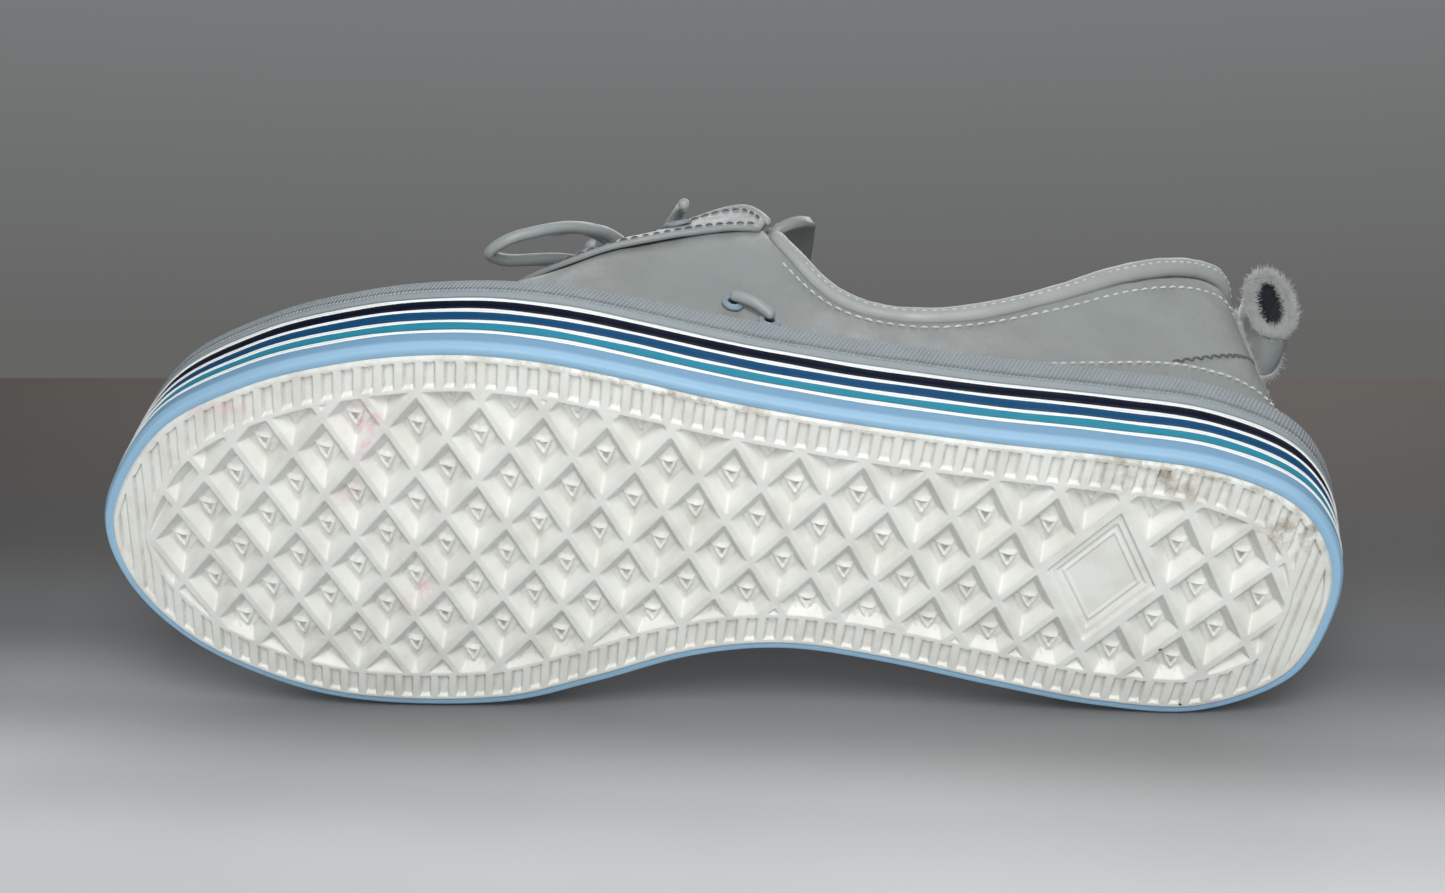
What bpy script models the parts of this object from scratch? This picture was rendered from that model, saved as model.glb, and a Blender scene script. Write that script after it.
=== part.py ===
"""Left low-top platform boat sneaker: lattice-tread outsole, striped foxing, leather upper, tongue and laces.

Frame: metres, +Z up, toe towards -Y, lateral side towards +X, origin on the ground under the sole's middle.
"""

import math

import bmesh
import bpy
from mathutils import Matrix, Vector

MM = 0.001
GAP = 0.3  # clearance between touching pieces, mm

# ---- driving sizes, mm --------------------------------------------------------------------------
SOLE_LENGTH = 286.0
SOLE_WIDTH = 114.6
SPAN_STEPS = 2  # facets in each span of the sole outline

OUTSOLE_INSET = 1.2  # the white rubber stands inside the foxing by this much
OUTSOLE_THICKNESS = 4.6
TREAD_DEPTH = 2.6
CELL_LENGTH = 14.3  # lattice pitch along the shoe
CELL_WIDTH = 22.4  # lattice pitch across the shoe
RIB_WIDTH = 2.2
CELL_SLOPE = 1.7  # how far each recess wall leans in over the tread depth
CELL_ORIGIN = (20.2, -103.0)
RIM_WIDTH = 11.0  # from the outsole's edge to the lattice field
SLOT_PITCH = 4.6
SLOT_WIDTH = 2.1
SLOT_DEPTH = 1.2
SLOT_MARGIN = 2.7  # rubber left between a slot and the edge
SLOT_LENGTH = 6.2
STUD_HEIGHT = 0.8
PLAQUE_STEP = 0.7

FOXING_THICKNESS = 3.0
FOXING_FLARE = 1.5  # how far the sidewall leans out over its height
FOXING_START = 1.0
SKY_HEIGHT = 4.6
TEAL_HEIGHT = 2.9
BLUE_HEIGHT = 3.2
NAVY_HEIGHT = 3.3
PINSTRIPE_HEIGHT = 0.95
SMOOTH_HEIGHT = 3.1
TEXTURED_TOE_HEIGHT = 2.9
TEXTURED_HEEL_HEIGHT = 5.9

BOARD_THICKNESS = 1.8
FOOTBED_THICKNESS = 4.0

UPPER_THICKNESS = 1.6
STIFFENER_THICKNESS = 1.0
LINING_THICKNESS = 1.0
OVERLAY_THICKNESS = 1.2
LEAN = 0.16  # the worn upper leans to the lateral side by this share of its height
COLLAR_RADIUS = 2.4
TONGUE_THICKNESS = 3.0
TONGUE_HALF_WIDTH = 22.0
LACE_DIAMETER = 3.0
EYELET_RADIUS = 3.4
EYELET_HOLE = 1.7
SIDE_EYELET_RADIUS = 2.6
LOOP_WIDTH = 12.0
STRAP_THICKNESS = 2.0

# Outline of the sole at the ground, from the heel's back over the lateral side, the toe and the medial side,
# each with the point of the upper's top edge that stands above it: topline, eyestay and throat.
STATIONS = (
    ((18.0, 143.0), (18.0, 121.0, 93.0)),
    ((36.0, 139.5), (28.0, 117.0, 91.0)),
    ((50.0, 127.5), (35.0, 106.0, 85.0)),
    ((56.0, 108.0), (38.5, 92.0, 77.0)),
    ((56.0, 85.0), (40.0, 74.0, 66.0)),
    ((54.6, 60.0), (40.0, 55.0, 58.0)),
    ((53.9, 35.0), (39.0, 38.0, 56.0)),
    ((54.0, 15.0), (37.0, 22.0, 61.0)),
    ((54.8, -3.0), (32.0, 8.0, 75.0)),
    ((56.4, -22.0), (24.0, -4.0, 92.0)),
    ((57.2, -42.0), (19.0, -20.0, 88.0)),
    ((55.2, -62.0), (15.0, -36.0, 80.0)),
    ((49.0, -84.0), (12.0, -48.0, 73.0)),
    ((38.0, -107.5), (8.0, -54.5, 70.0)),
    ((20.5, -129.5), (4.5, -57.5, 69.0)),
    ((-6.9, -142.8), (1.5, -58.5, 69.0)),
    ((-29.0, -139.5), (-1.5, -57.5, 69.0)),
    ((-46.5, -124.0), (-5.0, -54.5, 70.0)),
    ((-56.0, -100.0), (-7.0, -48.0, 73.0)),
    ((-57.0, -76.0), (-8.0, -36.0, 80.0)),
    ((-50.0, -44.5), (-8.0, -20.0, 88.0)),
    ((-37.8, -21.5), (-9.0, -4.0, 92.0)),
    ((-24.5, 0.5), (-13.0, 8.0, 78.0)),
    ((-17.2, 22.0), (-13.0, 22.0, 67.0)),
    ((-16.4, 45.0), (-9.0, 42.0, 62.0)),
    ((-18.4, 72.0), (-4.0, 66.0, 66.0)),
    ((-19.4, 97.0), (0.0, 90.0, 77.0)),
    ((-16.0, 121.0), (4.0, 107.0, 86.0)),
    ((-1.5, 139.0), (9.0, 117.0, 91.0)),
)
DRAWN_LENGTH = 285.8
DRAWN_WIDTH = 114.2

# Levels of the foxing's bands, worked out from their heights.
PINSTRIPES = []
BANDS = {}
level = FOXING_START
for band_name, band_height in (
    ("foxing_sky_band", SKY_HEIGHT),
    ("foxing_teal_band", TEAL_HEIGHT),
    ("foxing_blue_band", BLUE_HEIGHT),
    ("foxing_navy_band", NAVY_HEIGHT),
):
    BANDS[band_name] = (level, level + band_height - GAP)
    level += band_height
    PINSTRIPES.append((level, level + PINSTRIPE_HEIGHT - GAP))
    level += PINSTRIPE_HEIGHT
BANDS["foxing_smooth_band"] = (level, level + SMOOTH_HEIGHT - GAP)
TEXTURED_START = level + SMOOTH_HEIGHT
CORE_BOTTOM = OUTSOLE_THICKNESS + GAP
CORE_TOP = 15.4
BOARD_BOTTOM = CORE_TOP + GAP
FOOTBED_BOTTOM = BOARD_BOTTOM + BOARD_THICKNESS + GAP
FEATHER_INSET = FOXING_THICKNESS + OVERLAY_THICKNESS + 3 * GAP
FEATHER_HEIGHT = BOARD_BOTTOM + 1.0
LAYER_GAP = 2 * GAP  # between the upper's layers
LINING_LIFT = -(UPPER_THICKNESS + STIFFENER_THICKNESS + 2 * LAYER_GAP)
FOOTBED_EASE = 2.2
BOARD_INSET = FEATHER_INSET - LINING_LIFT + LINING_THICKNESS + GAP


# ---- scene and materials ------------------------------------------------------------------------
def clear_scene():
    for obj in list(bpy.data.objects):
        bpy.data.objects.remove(obj, do_unlink=True)


def new_collection(name):
    made = bpy.data.collections.new(name)
    bpy.context.scene.collection.children.link(made)
    return made


def material(name, colour, roughness, metallic=0.0):
    found = bpy.data.materials.get(name)
    if found:
        return found
    made = bpy.data.materials.new(name)
    made.use_nodes = True
    shader = made.node_tree.nodes["Principled BSDF"]
    shader.inputs["Base Color"].default_value = (*colour, 1.0)
    shader.inputs["Roughness"].default_value = roughness
    shader.inputs["Metallic"].default_value = metallic
    made.diffuse_color = (*colour, 1.0)
    return made


def rubber(name, colour):
    return material(name, colour, 0.6)


LEATHER_GREY = (0.62, 0.64, 0.64)
LINING_GREY = (0.42, 0.42, 0.41)
LACE_GREY = (0.58, 0.6, 0.6)


def add_object(name, mesh, collection, mat, smooth=True):
    obj = bpy.data.objects.new(name, mesh)
    collection.objects.link(obj)
    mesh.materials.append(mat)
    if smooth:
        mesh.shade_smooth()
        mesh.set_sharp_from_angle(angle=math.radians(35))
    return obj


def mesh_from(bm, name):
    bmesh.ops.recalc_face_normals(bm, faces=bm.faces)
    mesh = bpy.data.meshes.new(name)
    bm.to_mesh(mesh)
    bm.free()
    return mesh


# ---- curves -------------------------------------------------------------------------------------
def spline(points, position):
    """A point on the closed Catmull-Rom curve through the points, at a position counted in stations."""
    count = len(points)
    base = math.floor(position)
    t = position - base
    p0, p1, p2, p3 = (Vector(points[(base + k) % count]) for k in (-1, 0, 1, 2))
    return 0.5 * (2 * p1 + (p2 - p0) * t + (2 * p0 - 5 * p1 + 4 * p2 - p3) * t**2 + (3 * p1 - p0 - 3 * p2 + p3) * t**3)


SCALE_X = SOLE_WIDTH / DRAWN_WIDTH
SCALE_Y = SOLE_LENGTH / DRAWN_LENGTH
EDGE_POINTS = [(x * SCALE_X, y * SCALE_Y) for (x, y), _ in STATIONS]
TOP_POINTS = [((x + LEAN * (z - 28.0)) * SCALE_X, y * SCALE_Y, z) for _, (x, y, z) in STATIONS]
STATION_COUNT = len(STATIONS)


def edge_point(position, outward=0.0):
    """A point of the sole's outline, moved outwards by the given distance."""
    here = spline(EDGE_POINTS, position)
    along = (spline(EDGE_POINTS, position + 0.02) - spline(EDGE_POINTS, position - 0.02)).normalized()
    # The stations run anticlockwise from below, so the outward side is to the left.
    return Vector((here.x - along.y * outward, here.y + along.x * outward))


def outline(outward=0.0, steps=SPAN_STEPS):
    return [edge_point(k / steps, outward) for k in range(STATION_COUNT * steps)]


def wall_offset(height):
    return FOXING_FLARE * height / 30.0


def foxing_top(y):
    """Height of the foxing's top edge: low round the toe, higher from the waist to the heel."""
    share = min(max((y + 75.0) / 90.0, 0.0), 1.0)
    rise = share * share * (3.0 - 2.0 * share)
    return TEXTURED_START + TEXTURED_TOE_HEIGHT + (TEXTURED_HEEL_HEIGHT - TEXTURED_TOE_HEIGHT) * rise


# ---- solids from rings of points ----------------------------------------------------------------
def loft(name, rings, collection, mat, closed_section=False, smooth=True):
    """Joins rings of equal count; the ends are capped, or the last ring is joined to the first."""
    bm = bmesh.new()
    rows = [[bm.verts.new(Vector(p) * MM) for p in ring] for ring in rings]
    count = len(rings[0])
    pairs = list(zip(rows, rows[1:]))
    if closed_section:
        pairs.append((rows[-1], rows[0]))
    for low, high in pairs:
        for k in range(count):
            bm.faces.new((low[k], low[(k + 1) % count], high[(k + 1) % count], high[k]))
    if not closed_section:
        bm.faces.new(list(reversed(rows[0])))
        bm.faces.new(rows[-1])
    return add_object(name, mesh_from(bm, name), collection, mat, smooth)


def at_height(points, height):
    if callable(height):
        return [(p.x, p.y, height(p.y)) for p in points]
    return [(p.x, p.y, height) for p in points]


def foxing_ring(name, bottom, top, collection, mat):
    outer_low = at_height(outline(wall_offset(bottom)), bottom)
    level_top = top if not callable(top) else TEXTURED_START + TEXTURED_HEEL_HEIGHT
    outer_high = at_height(outline(wall_offset(level_top)), top)
    inner_high = at_height(outline(-FOXING_THICKNESS), top)
    inner_low = at_height(outline(-FOXING_THICKNESS), bottom)
    return loft(name, (outer_low, outer_high, inner_high, inner_low), collection, mat, closed_section=True)


def plate(name, inset, bottom, top, collection, mat):
    return loft(name, (at_height(outline(-inset), bottom), at_height(outline(-inset), top)), collection, mat)


def apply_modifiers(obj):
    """Replaces the object's mesh with the one its modifiers make."""
    graph = bpy.context.evaluated_depsgraph_get()
    finished = bpy.data.meshes.new_from_object(obj.evaluated_get(graph))
    obj.modifiers.clear()
    obj.data = finished


def boolean(obj, other, operation):
    modifier = obj.modifiers.new(operation.title(), "BOOLEAN")
    modifier.operation = operation
    modifier.object = other
    modifier.solver = "EXACT"


def as_cutter(obj):
    obj.hide_render = True
    obj.display_type = "WIRE"


# ---- outsole ------------------------------------------------------------------------------------
def inside(point, polygon):
    hit = False
    for a, b in zip(polygon, polygon[1:] + polygon[:1]):
        if (a.y > point[1]) != (b.y > point[1]):
            if point[0] < a.x + (point[1] - a.y) * (b.x - a.x) / (b.y - a.y):
                hit = not hit
    return hit


def diamond(centre, length, width, height):
    x, y = centre
    return [(x, y - length / 2, height), (x + width / 2, y, height), (x, y + length / 2, height), (x - width / 2, y, height)]


def lattice_cells():
    """Centres of the lattice's cells that lie on the field, and of the plaque that takes four of them."""
    field = outline(-OUTSOLE_INSET - RIM_WIDTH + CELL_LENGTH * 0.22)
    plaque = (CELL_ORIGIN[0], CELL_ORIGIN[1] + 13.5 * CELL_LENGTH)
    cells = []
    for row in range(-8, 8):
        for column in range(-8, 48):
            if (row + column) % 2:
                continue
            centre = (CELL_ORIGIN[0] + row * CELL_WIDTH / 2, CELL_ORIGIN[1] + column * CELL_LENGTH / 2)
            reach = abs(centre[0] - plaque[0]) / CELL_WIDTH + abs(centre[1] - plaque[1]) / CELL_LENGTH
            if reach > 0.9 and inside(centre, field):
                cells.append(centre)
    return cells, plaque


def add_frustum(bm, rings, stud=None):
    """A tapered prism; with a stud, its last face is dented by a small pyramid."""
    rows = [[bm.verts.new(Vector(p) * MM) for p in ring] for ring in rings]
    for low, high in zip(rows, rows[1:]):
        for k in range(4):
            bm.faces.new((low[k], low[(k + 1) % 4], high[(k + 1) % 4], high[k]))
    bm.faces.new(list(reversed(rows[0])))
    if stud is None:
        bm.faces.new(rows[-1])
        return
    tip = bm.verts.new(Vector(stud) * MM)
    for k in range(4):
        bm.faces.new((rows[-1][k], rows[-1][(k + 1) % 4], tip))


def tread_cutter(cutters):
    """All the lattice's recesses, each a tapered diamond with a low stud left in its floor."""
    rib_share = RIB_WIDTH * math.hypot(1 / CELL_LENGTH, 1 / CELL_WIDTH)
    lean_share = 2 * CELL_SLOPE * math.hypot(1 / CELL_LENGTH, 1 / CELL_WIDTH)
    cells, plaque = lattice_cells()
    bm = bmesh.new()
    for centre in cells:
        mouth = 1.0 - rib_share
        floor = mouth - lean_share
        below = mouth + lean_share / TREAD_DEPTH
        rings = [
            diamond(centre, CELL_LENGTH * below, CELL_WIDTH * below, -1.0),
            diamond(centre, CELL_LENGTH * floor, CELL_WIDTH * floor, TREAD_DEPTH),
        ]
        rings.append(diamond(centre, CELL_LENGTH * floor * 0.45, CELL_WIDTH * floor * 0.45, TREAD_DEPTH))
        add_frustum(bm, rings, stud=(centre[0], centre[1], TREAD_DEPTH - STUD_HEIGHT))
    recesses = add_object("cutter_recesses", mesh_from(bm, "cutter_recesses"), cutters, rubber("cutter", (1, 0, 0)))
    field_points = outline(-OUTSOLE_INSET - RIM_WIDTH)
    field = loft("cutter_field", (at_height(field_points, -2.0), at_height(field_points, TREAD_DEPTH + 2.0)), cutters,
                 rubber("cutter", (1, 0, 0)))
    boolean(recesses, field, "INTERSECT")
    apply_modifiers(recesses)
    as_cutter(recesses)
    as_cutter(field)
    bm = bmesh.new()
    for share, depth in ((2.0 - rib_share, PLAQUE_STEP), (1.72 - rib_share, 2 * PLAQUE_STEP)):
        add_frustum(bm, [diamond(plaque, CELL_LENGTH * share, CELL_WIDTH * share, -1.0 - depth),
                         diamond(plaque, CELL_LENGTH * share, CELL_WIDTH * share, depth)])
        step = mesh_from(bm, "cutter_plaque")
        yield add_object(f"cutter_plaque_{depth:.1f}", step, cutters, rubber("cutter", (1, 0, 0)))
        bm = bmesh.new()
    bm.free()
    yield recesses


def slot_cutter(cutters):
    """Slots across the shoe, cut off where they leave the rim's middle: long at the toe and heel tips."""
    outer = outline(-OUTSOLE_INSET - SLOT_MARGIN)
    inner = outline(-OUTSOLE_INSET - SLOT_MARGIN - SLOT_LENGTH)
    rings = (at_height(outer, -1.0), at_height(outer, SLOT_DEPTH + 1.0), at_height(inner, SLOT_DEPTH + 1.0),
             at_height(inner, -1.0))
    band = loft("cutter_slots", rings, cutters, rubber("cutter", (1, 0, 0)), closed_section=True)
    bm = bmesh.new()
    rows = int(SOLE_LENGTH / SLOT_PITCH)
    for k in range(rows):
        y = (k - (rows - 1) / 2) * SLOT_PITCH
        size = Matrix.Diagonal((SOLE_WIDTH * MM * 1.2, SLOT_WIDTH * MM, (SLOT_DEPTH + 0.5) * MM, 1.0))
        place = Matrix.Translation(Vector((0.0, y, (SLOT_DEPTH - 0.5) / 2)) * MM)
        bmesh.ops.create_cube(bm, size=1.0, matrix=place @ size)
    strips = add_object("cutter_strips", mesh_from(bm, "cutter_strips"), cutters, rubber("cutter", (1, 0, 0)))
    boolean(band, strips, "INTERSECT")
    apply_modifiers(band)
    as_cutter(band)
    as_cutter(strips)
    return band


def outsole(parts, cutters):
    lip = FOXING_START - GAP
    seat = -FOXING_THICKNESS - GAP
    rings = (
        at_height(outline(-OUTSOLE_INSET), 0.0),
        at_height(outline(-OUTSOLE_INSET), lip),
        at_height(outline(seat), lip),
        at_height(outline(seat), OUTSOLE_THICKNESS),
    )
    sole = loft("outsole", rings, parts, rubber("white_rubber", (0.8, 0.8, 0.77)))
    for cutter in (*tread_cutter(cutters), slot_cutter(cutters)):
        as_cutter(cutter)
        boolean(sole, cutter, "DIFFERENCE")
    apply_modifiers(sole)
    return sole


# ---- sole and foxing ----------------------------------------------------------------------------
def sole_unit(parts):
    colours = {
        "foxing_sky_band": (0.33, 0.52, 0.75),
        "foxing_teal_band": (0.03, 0.3, 0.45),
        "foxing_blue_band": (0.0, 0.09, 0.22),
        "foxing_navy_band": (0.002, 0.006, 0.03),
        "foxing_smooth_band": (0.55, 0.6, 0.63),
    }
    for name, (bottom, top) in BANDS.items():
        foxing_ring(name, bottom, top, parts, rubber(name, colours[name]))
    for number, (bottom, top) in enumerate(PINSTRIPES, 1):
        foxing_ring(f"foxing_pinstripe_{number}", bottom, top, parts, rubber("white_stripe", (0.9, 0.92, 0.93)))
    foxing_ring("foxing_textured_band", TEXTURED_START, foxing_top, parts, rubber("textured_band", (0.5, 0.54, 0.57)))
    core_inset = FOXING_THICKNESS + GAP
    plate("midsole_core", core_inset, CORE_BOTTOM, CORE_TOP, parts, material("white_foam", (0.75, 0.75, 0.73), 0.8))
    plate("insole_board", BOARD_INSET, BOARD_BOTTOM, BOARD_BOTTOM + BOARD_THICKNESS, parts,
          material("fibre_board", (0.5, 0.4, 0.28), 0.9))
    plate("footbed", BOARD_INSET + FOOTBED_EASE, FOOTBED_BOTTOM, FOOTBED_BOTTOM + FOOTBED_THICKNESS, parts,
          material("footbed", LINING_GREY, 0.8))


# ---- upper --------------------------------------------------------------------------------------
def skin(position, share):
    """A point of the upper's outer surface: from the feather edge (0) to the top edge (1)."""
    foot = edge_point(position, -FEATHER_INSET)
    low = Vector((foot.x, foot.y, FEATHER_HEIGHT))
    high = spline(TOP_POINTS, position)
    rise = high.z - low.z
    out = Vector((low.x - high.x, low.y - high.y, 0.0))
    slant = min(out.length / rise, 2.0)
    first = low + Vector((0.0, 0.0, rise * 0.42))
    second = high + out * (0.18 + 0.2 * slant) - Vector((0.0, 0.0, rise * 0.3 / (0.6 + slant)))
    t = share
    return (1 - t) ** 3 * low + 3 * (1 - t) ** 2 * t * first + 3 * (1 - t) * t * t * second + t**3 * high


def skin_normal(position, share):
    step = 0.01
    along = skin(position + step * 4, share) - skin(position - step * 4, share)
    up = skin(position, min(share + step, 1.0)) - skin(position, max(share - step, 0.0))
    return up.cross(along).normalized()


def lifted(position, share, lift):
    return skin(position, share) + skin_normal(position, share) * lift


ROWS = [k / 5 for k in range(6)]  # shares at which every layer of the upper has its edges
COARSE_SPANS = ((4, 8), (22, 25))  # stations along the straight flanks, where one facet a station is enough


def grid_positions(start, end):
    """Stations common to all the layers, so that their facets stay parallel, and the patch's own two ends."""
    found = [start]
    for k in range(math.ceil(start * 2), math.floor(end * 2) + 1):
        position = k / 2
        coarse = any(low <= position <= high for low, high in COARSE_SPANS)
        if position - found[-1] > 0.1 and end - position > 0.1 and not (coarse and k % 2):
            found.append(position)
    return [*found, end]


def stations_in(position, share, distance):
    """How many stations the distance spans along the upper at this place."""
    return 0.1 * distance / (skin(position + 0.05, share) - skin(position - 0.05, share)).length


def patch(name, span, shares, lift, thickness, parts, mat):
    """A shell over part of the upper: an open grid, kept off the seams at its two ends and thickened inwards."""
    low, high = shares
    inner_rows = [share for share in ROWS if low + 0.04 < share < high - 0.04]
    rows = [low, *inner_rows, high]
    grid = []
    for position in grid_positions(*span):
        inwards = (position == span[0]) - (position == span[1])
        grid.append([lifted(position + inwards * stations_in(position, share, SEAM), share, lift) for share in rows])
    return sheet(name, grid, thickness, parts, mat)


def eyestay(side, span, parts):
    """The facing round the eyelets: its lower edge curves up to the throat at both ends."""
    middle = (span[0] + span[1]) / 2
    half = (span[1] - span[0]) / 2
    grid = []
    for position in grid_positions(*span):
        bow = abs((position - middle) / half) ** 3
        low = EYESTAY_SHARE + (EYESTAY_END_SHARE - EYESTAY_SHARE) * bow
        grid.append([lifted(position, low + (0.99 - low) * k / 4, OVERLAY_LIFT) for k in range(5)])
    sheet(f"eyestay_{side}", grid, OVERLAY_THICKNESS, parts, leather())


def sheet(name, grid, thickness, parts, mat):
    """A shell from an open grid of points, thickened away from the side that its faces show."""
    bm = bmesh.new()
    verts = [[bm.verts.new(Vector(point) * MM) for point in row] for row in grid]
    for first, second in zip(verts, verts[1:]):
        for k in range(len(first) - 1):
            bm.faces.new((first[k], first[k + 1], second[k + 1], second[k]))
    mesh = bpy.data.meshes.new(name)
    bm.to_mesh(mesh)
    bm.free()
    obj = add_object(name, mesh, parts, mat)
    shell = obj.modifiers.new("Solidify", "SOLIDIFY")
    shell.thickness = thickness * MM
    shell.offset = -1.0
    shell.use_even_offset = True
    return obj


LEATHER = ("grey_leather", LEATHER_GREY, 0.5)
SEAM = GAP / 2 + 0.2 * UPPER_THICKNESS  # half the gap between two panels, wider where they are thicker
TOE_SEAMS = (12.6, 17.4)
COLLAR_ENDS = (8.2, 21.9)
TOP_SHARE = 0.93  # the panels stop here, and the rolled collar sits on them
LINING_SHARE = 0.88
EYESTAY_SHARE = 0.62  # where the eyestay's lower edge runs, and where it ends at the throat
EYESTAY_END_SHARE = 0.9
OVERLAY_LIFT = OVERLAY_THICKNESS + LAYER_GAP


def leather():
    return material(*LEATHER)


def upper(parts):
    """Outer panels, the stiffeners between the layers, and the lining inside."""
    lining = material("lining", LINING_GREY, 0.85)
    stiffener = material("stiffener", (0.6, 0.55, 0.45), 0.9)
    toe_start, toe_end = TOE_SEAMS
    front = (toe_start, toe_end)
    lateral = (0.0, toe_start)
    medial = (toe_end, STATION_COUNT)
    patch("vamp", front, (0.0, 1.0), 0.0, UPPER_THICKNESS, parts, leather())
    patch("vamp_lining", front, (0.05, LINING_SHARE), LINING_LIFT, LINING_THICKNESS, parts, lining)
    for side, span in (("lateral", lateral), ("medial", medial)):
        patch(f"quarter_{side}", span, (0.0, TOP_SHARE), 0.0, UPPER_THICKNESS, parts, leather())
        patch(f"quarter_lining_{side}", span, (0.05, LINING_SHARE), LINING_LIFT, LINING_THICKNESS, parts, lining)
    inner = -UPPER_THICKNESS - LAYER_GAP
    patch("toe_puff", (13.5, 16.5), (0.2, 0.6), inner, STIFFENER_THICKNESS, parts, stiffener)
    patch("heel_counter", (-4.0, 4.0), (0.05, 0.6), inner, STIFFENER_THICKNESS, parts, stiffener)
    for side, span in (("lateral", (8.5, 12.4)), ("medial", (17.6, 21.6))):
        eyestay(side, span, parts)
    patch("backstay", (-0.32, 0.32), (0.02, TOP_SHARE - 0.02), OVERLAY_LIFT, OVERLAY_THICKNESS, parts,
          material("raw_edge_leather", (0.7, 0.71, 0.71), 0.6))


def tube(name, points, radius, parts, mat, resolution=2):
    """A round tube on a polyline, in millimetres."""
    curve = bpy.data.curves.new(name, "CURVE")
    curve.dimensions = "3D"
    curve.bevel_depth = radius * MM
    curve.bevel_resolution = resolution
    curve.use_fill_caps = True
    line = curve.splines.new("POLY")
    line.points.add(len(points) - 1)
    for target, point in zip(line.points, points):
        target.co = (*(Vector(point) * MM), 1.0)
    obj = bpy.data.objects.new(name, curve)
    parts.objects.link(obj)
    curve.materials.append(mat)
    return obj


def collar(parts):
    """The padded roll round the topline, from one eyestay round the heel to the other."""
    start = COLLAR_ENDS[1] - STATION_COUNT
    steps = 30
    points = []
    for k in range(steps + 1):
        position = start + (COLLAR_ENDS[0] - start) * k / steps
        points.append(lifted(position, 1.0, -UPPER_THICKNESS / 2))
    tube("collar_roll", points, COLLAR_RADIUS, parts, leather(), 2)


# ---- tongue -------------------------------------------------------------------------------------
TONGUE_EASE = 1.0  # air between the lining and the tongue
TONGUE_LIFT = LINING_LIFT - LINING_THICKNESS - TONGUE_EASE
TONGUE_PAIRS = ((12.0, 18.0), (11.0, 19.0), (10.0, 20.0), (9.3, 20.7))
TONGUE_CREST = 2.0  # the tongue's middle stands above the line between the throat's edges by this much
TONGUE_TUCK = Vector((-1.0, -13.0, -8.5))  # from the throat's front end to the tongue's hidden front edge
TONGUE_MIDDLE = 17.7
TONGUE_HINGE = Vector((TONGUE_MIDDLE, -3.0, 87.5))
# Station, height and half width of the free part, from the hinge to the top edge.
TONGUE_TOP_ROWS = ((-2.5, 89.5, 10.5), (1.0, 93.0, 14.0), (5.0, 97.5, 18.0), (9.0, 102.0, 19.5), (12.0, 106.0, 17.0))
TONGUE_ARCH = 0.02  # drop per square millimetre away from the middle


def tongue_section(lateral_station, medial_station):
    """Points from the medial to the lateral edge, under the two eyestays and arched between them."""
    edge_medial, top_medial, top_lateral, edge_lateral = (
        lifted(position, share, TONGUE_LIFT)
        for position, share in (
            (medial_station, 0.8), (medial_station, 0.97), (lateral_station, 0.97), (lateral_station, 0.8))
    )
    crest = (top_medial + top_lateral) / 2 + Vector((0.0, 0.0, TONGUE_CREST))
    return [edge_medial, top_medial, (top_medial + crest) / 2, crest, (top_lateral + crest) / 2, top_lateral, edge_lateral]


def tongue_top_point(row, across, lift=0.0):
    y, height, half = row
    dx = half * across
    return Vector((TONGUE_MIDDLE + dx, y, height + lift - TONGUE_ARCH * dx * dx))


def tongue(parts):
    sections = [tongue_section(*pair) for pair in TONGUE_PAIRS]
    middle = sections[0][3]
    tucked = [middle + (point - middle) * 0.8 + TONGUE_TUCK for point in sections[0]]
    sheet("tongue_base", [tucked, *sections], TONGUE_THICKNESS, parts, leather())
    across = [k / 4 for k in range(-4, 5)]
    free = [[tongue_top_point(row, share) for share in across] for row in TONGUE_TOP_ROWS]
    top = sheet("tongue_top", free, TONGUE_THICKNESS, parts, leather())
    label_shares = [0.15 + 0.15 * k for k in range(5)]
    weave = material("label_weave", (0.6, 0.62, 0.63), 0.8)
    label_rows = TONGUE_TOP_ROWS[2:4]
    label = [[tongue_top_point(row, share, 2 * LAYER_GAP) for share in label_shares] for row in label_rows]
    tab = sheet("tongue_label", label, 0.6, parts, weave)
    for moving in (top, tab):
        set_origin(moving, TONGUE_HINGE)


def set_origin(obj, point):
    """Moves the object's origin to the point without moving its shape."""
    shift = Vector(point) * MM
    obj.data.transform(Matrix.Translation(-shift))
    obj.location = shift


# ---- eyelets, laces and pull loop ---------------------------------------------------------------
EYELETS = {
    "eyelet_lateral_rear": (9.7, 0.82),
    "eyelet_lateral_front": (11.05, 0.82),
    "eyelet_medial_rear": (20.3, 0.82),
    "eyelet_medial_front": (18.95, 0.82),
}
SIDE_EYELETS = {
    "side_eyelet_lateral_front": (8.15, 0.42),
    "side_eyelet_lateral_rear": (7.6, 0.42),
    "side_eyelet_medial_front": (22.1, 0.42),
    "side_eyelet_medial_rear": (22.6, 0.42),
}


def ring(name, position, share, lift, radius, hole, height, parts, mat):
    """A flat ring that lies on the upper, its axis along the surface's normal."""
    normal = skin_normal(position, share)
    centre = lifted(position, share, lift)
    turn = normal.to_track_quat("Z", "Y")
    rings = []
    for r, h in ((radius, 0.0), (radius, height * 0.5), (hole, height), (hole, 0.0)):
        points = [Vector((r * math.cos(k * math.tau / 12), r * math.sin(k * math.tau / 12), h)) for k in range(12)]
        rings.append([centre + turn @ p for p in points])
    return loft(name, rings, parts, mat, closed_section=True)


def eyelets(parts):
    plastic = material("grey_eyelet", (0.55, 0.58, 0.6), 0.4)
    for name, (position, share) in EYELETS.items():
        ring(name, position, share, OVERLAY_LIFT + LAYER_GAP, EYELET_RADIUS, EYELET_HOLE, 0.9, parts, plastic)
    for name, (position, share) in SIDE_EYELETS.items():
        ring(name, position, share, LAYER_GAP, SIDE_EYELET_RADIUS, 1.3, 0.9, parts, plastic)


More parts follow.
